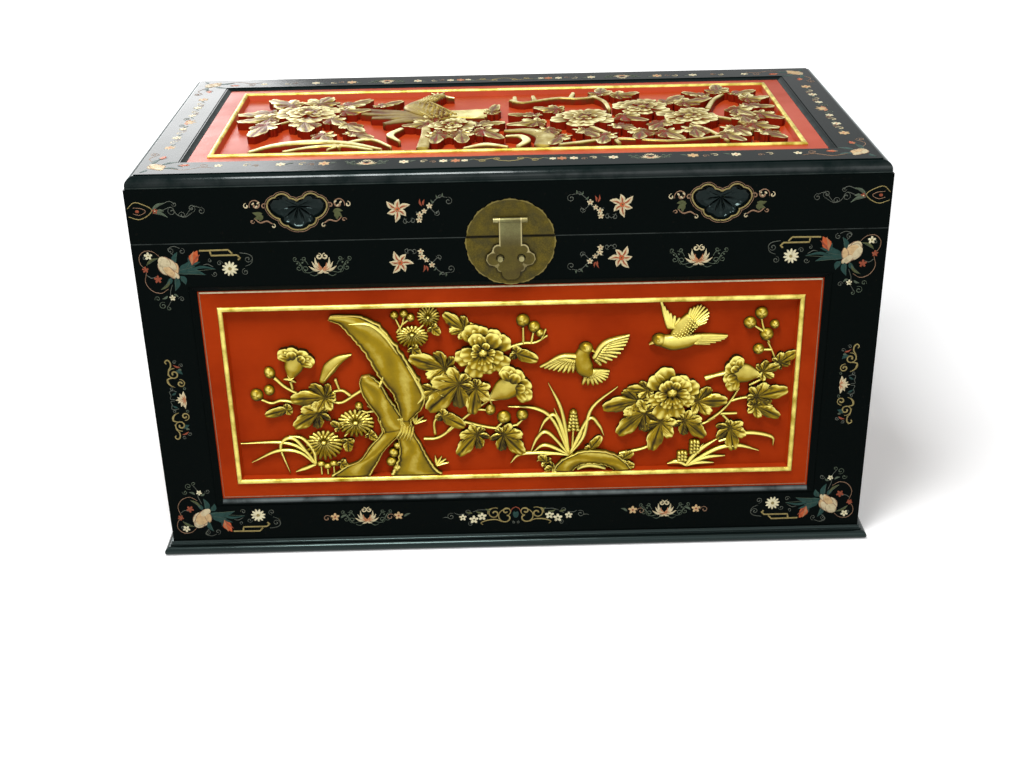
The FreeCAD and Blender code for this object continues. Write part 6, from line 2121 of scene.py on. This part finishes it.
@dataclass(frozen=True)
class Enamel(Finish):
    """Painted ornament: the stroke's own tint, uneven in the brush and worn in specks to the black below."""

    black: Triple = (0.006, 0.006, 0.006)
    thin: Triple = (0.25, 0.16, 0.08)
    specular: float = 0.12

    def inputs(self, graph: Graph, effects: SharedEffects) -> dict[str, object]:
        """Sockets and values of the shader's inputs.

        Args:
            graph: Graph of the material.
            effects: The shared effects.

        Returns:
            What each input gets.
        """
        wear = graph.group(effects.wear, Scale=22.0, Amount=0.55)
        cloud = graph.noise(180.0, 4.0)
        tint = graph.attribute("tint")["Color"]
        colour = graph.mix(graph.limits(cloud, 0.42, 0.8, 0.0, 0.5), tint, self.thin, "MULTIPLY")
        return {
            "Base Color": graph.over(colour, self.black, wear["Specks"], 0.7),
            "Roughness": graph.line(cloud, 0.25, 0.34),
            "Normal": graph.bump(cloud, 0.15, 0.0003),
            "Specular IOR Level": self.specular,
        }


@dataclass(frozen=True)
class PaleFloor(Finish):
    """The stage's floor: matt and pale, and lit by itself where it is seen, more so far from the chest."""

    pale: Triple = (0.86, 0.86, 0.86)
    light: Triple = (1.0, 1.0, 1.0)

    def inputs(self, graph: Graph, effects: SharedEffects) -> dict[str, object]:
        """Sockets and values of the shader's inputs.

        Args:
            graph: Graph of the material.
            effects: The shared effects, which the floor does without.

        Returns:
            What each input gets.
        """
        glow = graph.limits(graph.length(graph.place()), 0.7, 3.0, 0.3, 0.85)
        return {
            "Base Color": self.pale,
            "Roughness": 0.9,
            "Specular IOR Level": 0.0,
            "Emission Color": self.light,
            "Emission Strength": graph.math("MULTIPLY", graph.seen(), glow),
        }


class Coat(Enum):
    """The finishes of the chest, by material slot or by painted and carved work."""

    BLACK = "black_lacquer"
    RED = "red_lacquer"
    PLAIN_GILT = "gilt_strip"
    CARVED_GILT = "gilt_carving"
    LID_GILT = "gilt_lid_carving"
    MOULDING = "polished_moulding"
    PLINTH = "polished_plinth"
    BOWL = "polished_bowl"
    LOW_RAIL = "rail_with_painted_highlight"
    LID_RED = "lid_red_lacquer"
    BRASS = "brass"
    BRIGHT_BRASS = "handled_brass"
    POLISHED_BRASS = "polished_brass"
    WOOD = "bare_wood"
    ENAMEL = "enamel"
    FLOOR = "studio_floor"


class Workshop:
    """All finishes, made once, and the calls that put them on pieces."""

    by_name = (
        ("moulding", Coat.MOULDING), ("plinth", Coat.PLINTH), ("bottom_rail", Coat.LOW_RAIL),
        ("lid_panel", Coat.LID_RED), ("hasp_eyes", Coat.POLISHED_BRASS), ("hasp_pin", Coat.POLISHED_BRASS),
        ("padlock_posts", Coat.POLISHED_BRASS), ("hasp", Coat.BRIGHT_BRASS))
    by_slot = {
        "black_lacquer": Coat.BLACK, "red_lacquer": Coat.RED, "gilt_wood": Coat.PLAIN_GILT,
        "brass": Coat.BRASS, "bare_wood": Coat.WOOD}

    def __init__(self) -> None:
        """Make every finish."""
        effects = SharedEffects()
        self.coats = {coat: finish.make(effects) for coat, finish in self.finishes().items()}

    @staticmethod
    def finishes() -> dict[Coat, Finish]:
        """What each coat is made of.

        Returns:
            The finishes by coat.
        """
        teal = (0.72, 1.0, 0.96)
        return {
            Coat.BLACK: BlackLacquer("black_lacquer"),
            # the teal-tinted blacks of the three polished finishes below stand for a painted teal sheen; the
            # moulding's pale line at its ledge is a painted highlight
            Coat.MOULDING: BlackLacquer("polished_moulding", (0.0015, 0.0050, 0.0048), specular=0.025,
                                        polish=0.05, edge=0.5533, coated=0.8, sheen=(0.5, 1.0, 0.97)),
            Coat.PLINTH: BlackLacquer("polished_plinth", (0.0016, 0.0034, 0.0032), specular=0.34, polish=0.1,
                                      edge=0.0, sheen=teal),
            Coat.BOWL: BlackLacquer("polished_bowl", (0.0012, 0.003, 0.0028), specular=0.2, polish=0.05,
                                    edge=0.0, sheen=teal),
            # a broad pale line along the bottom rail's bevel: a painted highlight
            Coat.LOW_RAIL: BlackLacquer("rail_with_painted_highlight", edge=0.0818, rub_and_highlight=0.0036, line=(0.17, 0.20, 0.20)),
            # a lighter red than the front's, partly painted light: the lid's face takes more light from
            # above
            Coat.LID_RED: RedLacquer("lid_red_lacquer", (0.42, 0.044, 0.007), (0.33, 0.031, 0.004),
                                     specular=0.17),
            Coat.RED: RedLacquer("red_lacquer"),
            Coat.PLAIN_GILT: Gilding("gilt_strip", carved=False),
            Coat.CARVED_GILT: Gilding("gilt_carving"),
            Coat.LID_GILT: Gilding("gilt_lid_carving", (0.20, 0.012, 0.003), (0.085, 0.034, 0.008),
                                   (0.33, 0.24, 0.040), (0.95, 0.89, 0.46), mottle=0.85),
            Coat.BRASS: AgedBrass("aged_brass"),
            Coat.BRIGHT_BRASS: AgedBrass("handled_brass", (0.19, 0.185, 0.082), (0.09, 0.076, 0.024),
                                         (0.04, 0.032, 0.012), (0.55, 0.46, 0.26), chased=0.15, beside=0.0,
                                         rubbed=0.9),
            Coat.POLISHED_BRASS: AgedBrass("polished_brass", (0.36, 0.33, 0.16), (0.17, 0.145, 0.05),
                                           (0.06, 0.05, 0.02), chased=0.0, beside=0.0),
            Coat.WOOD: BareWood("bare_wood"),
            Coat.ENAMEL: Enamel("enamel"),
            Coat.FLOOR: PaleFloor("studio_floor"),
        }

    def dress(self, item: Object, coat: Coat) -> None:
        """Give a piece one finish all over."""
        item.data.materials.clear()
        item.data.materials.append(self.coats[coat])

    def dress_solids(self) -> None:
        """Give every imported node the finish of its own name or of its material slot."""
        for entry in frame["record"]["subparts"]:
            coat = self.by_slot[entry["material_slot"]]
            coat = next((own for part, own in self.by_name if part in entry["node"]), coat)
            self.dress(frame["nodes"][entry["node"]], coat)
            LOG.info("%s: %s", entry["node"], coat.value)


# Stage
@dataclass(frozen=True)
class Studio:
    """Floor, soft lamps, pale surroundings and the camera of the picture."""

    workshop: Workshop
    eye: Triple = (-0.0167, -2.0102, 1.1152)
    forward: Triple = (0.00799, 0.89570, -0.44460)
    right: Triple = (0.99969, -0.01758, -0.01746)
    lens: float = 49.39
    sensor: float = 36.0
    shift: Point = (-0.00068, 0.00918)
    floor_size: float = 60.0

    def build(self) -> None:
        """Set the whole stage."""
        self.camera()
        self.world()
        self.floor()
        self.lamp("key_lamp", (-0.35, -1.05, 2.45), (0.0, -0.1, 0.3), 0.75, 62.0)
        self.lamp("fill_lamp", (0.9, -2.8, 1.3), (0.0, 0.0, 0.3), 1.8, 9.0)
        self.lamp("window_lamp", (-1.2, 2.7, 1.35), (-0.3, 0.0, 0.55), 0.9, 20.0)
        bpy.context.scene.view_settings.view_transform = "Standard"

    @staticmethod
    def stand(data: bpy.types.ID, at: Triple, right: Array, back: Array) -> Object:
        """Stand a camera or a lamp in the scene.

        Args:
            data: The camera or the lamp.
            at: Its place.
            right: Its direction to the right.
            back: Its direction backwards.

        Returns:
            The new object.
        """
        item = bpy.data.objects.new(data.name, data)
        bpy.context.scene.collection.objects.link(item)
        turn = np.eye(4)
        turn[:3] = np.stack([right, np.cross(back, right), back, at], axis=1)
        item.matrix_world = Matrix(turn.tolist())
        return item

    def camera(self) -> None:
        """Stand the camera where the picture was taken."""
        data = bpy.data.cameras.new("picture_camera")
        data.lens = self.lens
        data.sensor_width = self.sensor
        data.shift_x, data.shift_y = self.shift
        bpy.context.scene.camera = self.stand(data, self.eye, np.array(self.right), -np.array(self.forward))

    def lamp(self, name: str, at: Triple, aim: Triple, size: float, power: float) -> None:
        """Hang a square soft lamp turned to a point.

        Args:
            name: Name of the lamp.
            at: Its place.
            aim: The point it faces.
            size: Side in metres.
            power: Power in watts.
        """
        data = bpy.data.lights.new(name, "AREA")
        data.shape = "SQUARE"
        data.size = size
        data.energy = power
        back = unit(np.subtract(at, aim))
        self.stand(data, at, unit(np.cross((0.0, 1.0, 0.0), back)), back)

    def world(self) -> None:
        """Pale surroundings: white where seen, softer as light."""
        world = bpy.data.worlds.new("pale_surroundings")
        world.use_nodes = True
        graph = Graph(world.node_tree)
        strength = graph.line(graph.seen(), 0.7, 0.3)
        graph.put(graph.tree.nodes["Background"], {"Color": (1.0, 1.0, 1.0), "Strength": strength})
        bpy.context.scene.world = world

    def floor(self) -> None:
        """A wide pale floor that takes the shadow."""
        half = self.floor_size / 2
        mesh = bpy.data.meshes.new("studio_floor")
        mesh.from_pydata(
            [(-half, -half, 0), (half, -half, 0), (half, half, 0), (-half, half, 0)], [], [(0, 1, 2, 3)])
        item = bpy.data.objects.new("studio_floor", mesh)
        bpy.context.scene.collection.objects.link(item)
        self.workshop.dress(item, Coat.FLOOR)


def edge(node: str, end: int, axis: int) -> float:
    """One side of a node's box in millimetres: its low or high end on an axis."""
    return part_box(node)[end][axis] / MM


@dataclass
class Chest:
    """The whole chest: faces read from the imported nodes, and every dressed piece on them."""

    workshop: Workshop
    recess: Point = (277.0, 498.0)

    def __post_init__(self) -> None:
        """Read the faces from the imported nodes, in millimetres."""
        self.base = edge("front_left_stile", 0, 2)
        self.front = Plane((0, edge("front_top_rail", 0, 1), self.base), (1, 0, 0), (0, 0, 1), (0, -1, 0))
        self.top = Plane((0, 0, edge("lid_front_moulding", 1, 2)), (1, 0, 0), (0, 1, 0), (0, 0, 1))
        self.ends = {
            "left_end": self.end_face("left_end_top_rail", -1),
            "right_end": self.end_face("right_end_top_rail", 1)}

    def end_face(self, node: str, side: int) -> Plane:
        """The outer face of a node at an end, side minus one on the left and one on the right."""
        return Plane((edge(node, int(side > 0), 0), 0, self.base), (0, side, 0), (0, 0, 1), (side, 0, 0))

    def carve(self) -> None:
        """Cut and gild the four reliefs."""
        ground = self.front.origin[1] - edge("front_carving", 1, 1)
        self.workshop.dress(FrontCarving(self.front, ground).build(), Coat.CARVED_GILT)
        ground = edge("lid_carving", 0, 2) - self.top.origin[2]
        self.workshop.dress(LidCarving(self.top, ground).build(), Coat.LID_GILT)
        ground = self.ends["left_end"].origin[0] - edge("left_end_carving", 1, 0)
        middle = (edge("left_end_bead", 0, 2) + edge("left_end_bead", 1, 2)) / 2 - self.base
        for name, plane in self.ends.items():
            item = EndCarving(plane, ground, name=name, middle=middle).build()
            self.workshop.dress(item, Coat.CARVED_GILT)

    def paint(self) -> None:
        """Paint the borders and line the finger recesses."""
        across, up = self.recess
        painters = [
            FrontPaint(self.front),
            *(EndPaint(plane, sight=(182.0, 65.0, 387.0), name=name) for name, plane in self.ends.items()),
            LidFrontPaint(self.front, recess=FingerRecess((-across, up))),
            LidTopPaint(self.top),
            LidEndPaint(self.end_face("lid_left_end", -1), name="lid_left_end"),
            LidEndPaint(self.end_face("lid_right_end", 1), name="lid_right_end"),
        ]
        for painter in painters:
            self.workshop.dress(painter.build(), Coat.ENAMEL)
        for name, side in (("left_finger_bowl", -1), ("right_finger_bowl", 1)):
            self.workshop.dress(FingerRecess((side * across, up)).build(name, self.front), Coat.BOWL)


def main() -> None:
    """Dress the solids, carve, paint and set the stage."""
    logging.basicConfig(level=logging.INFO, format="%(message)s")
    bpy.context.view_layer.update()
    workshop = Workshop()
    workshop.dress_solids()
    chest = Chest(workshop)
    chest.carve()
    chest.paint()
    Studio(workshop).build()


if __name__ == "__main__":
    main()
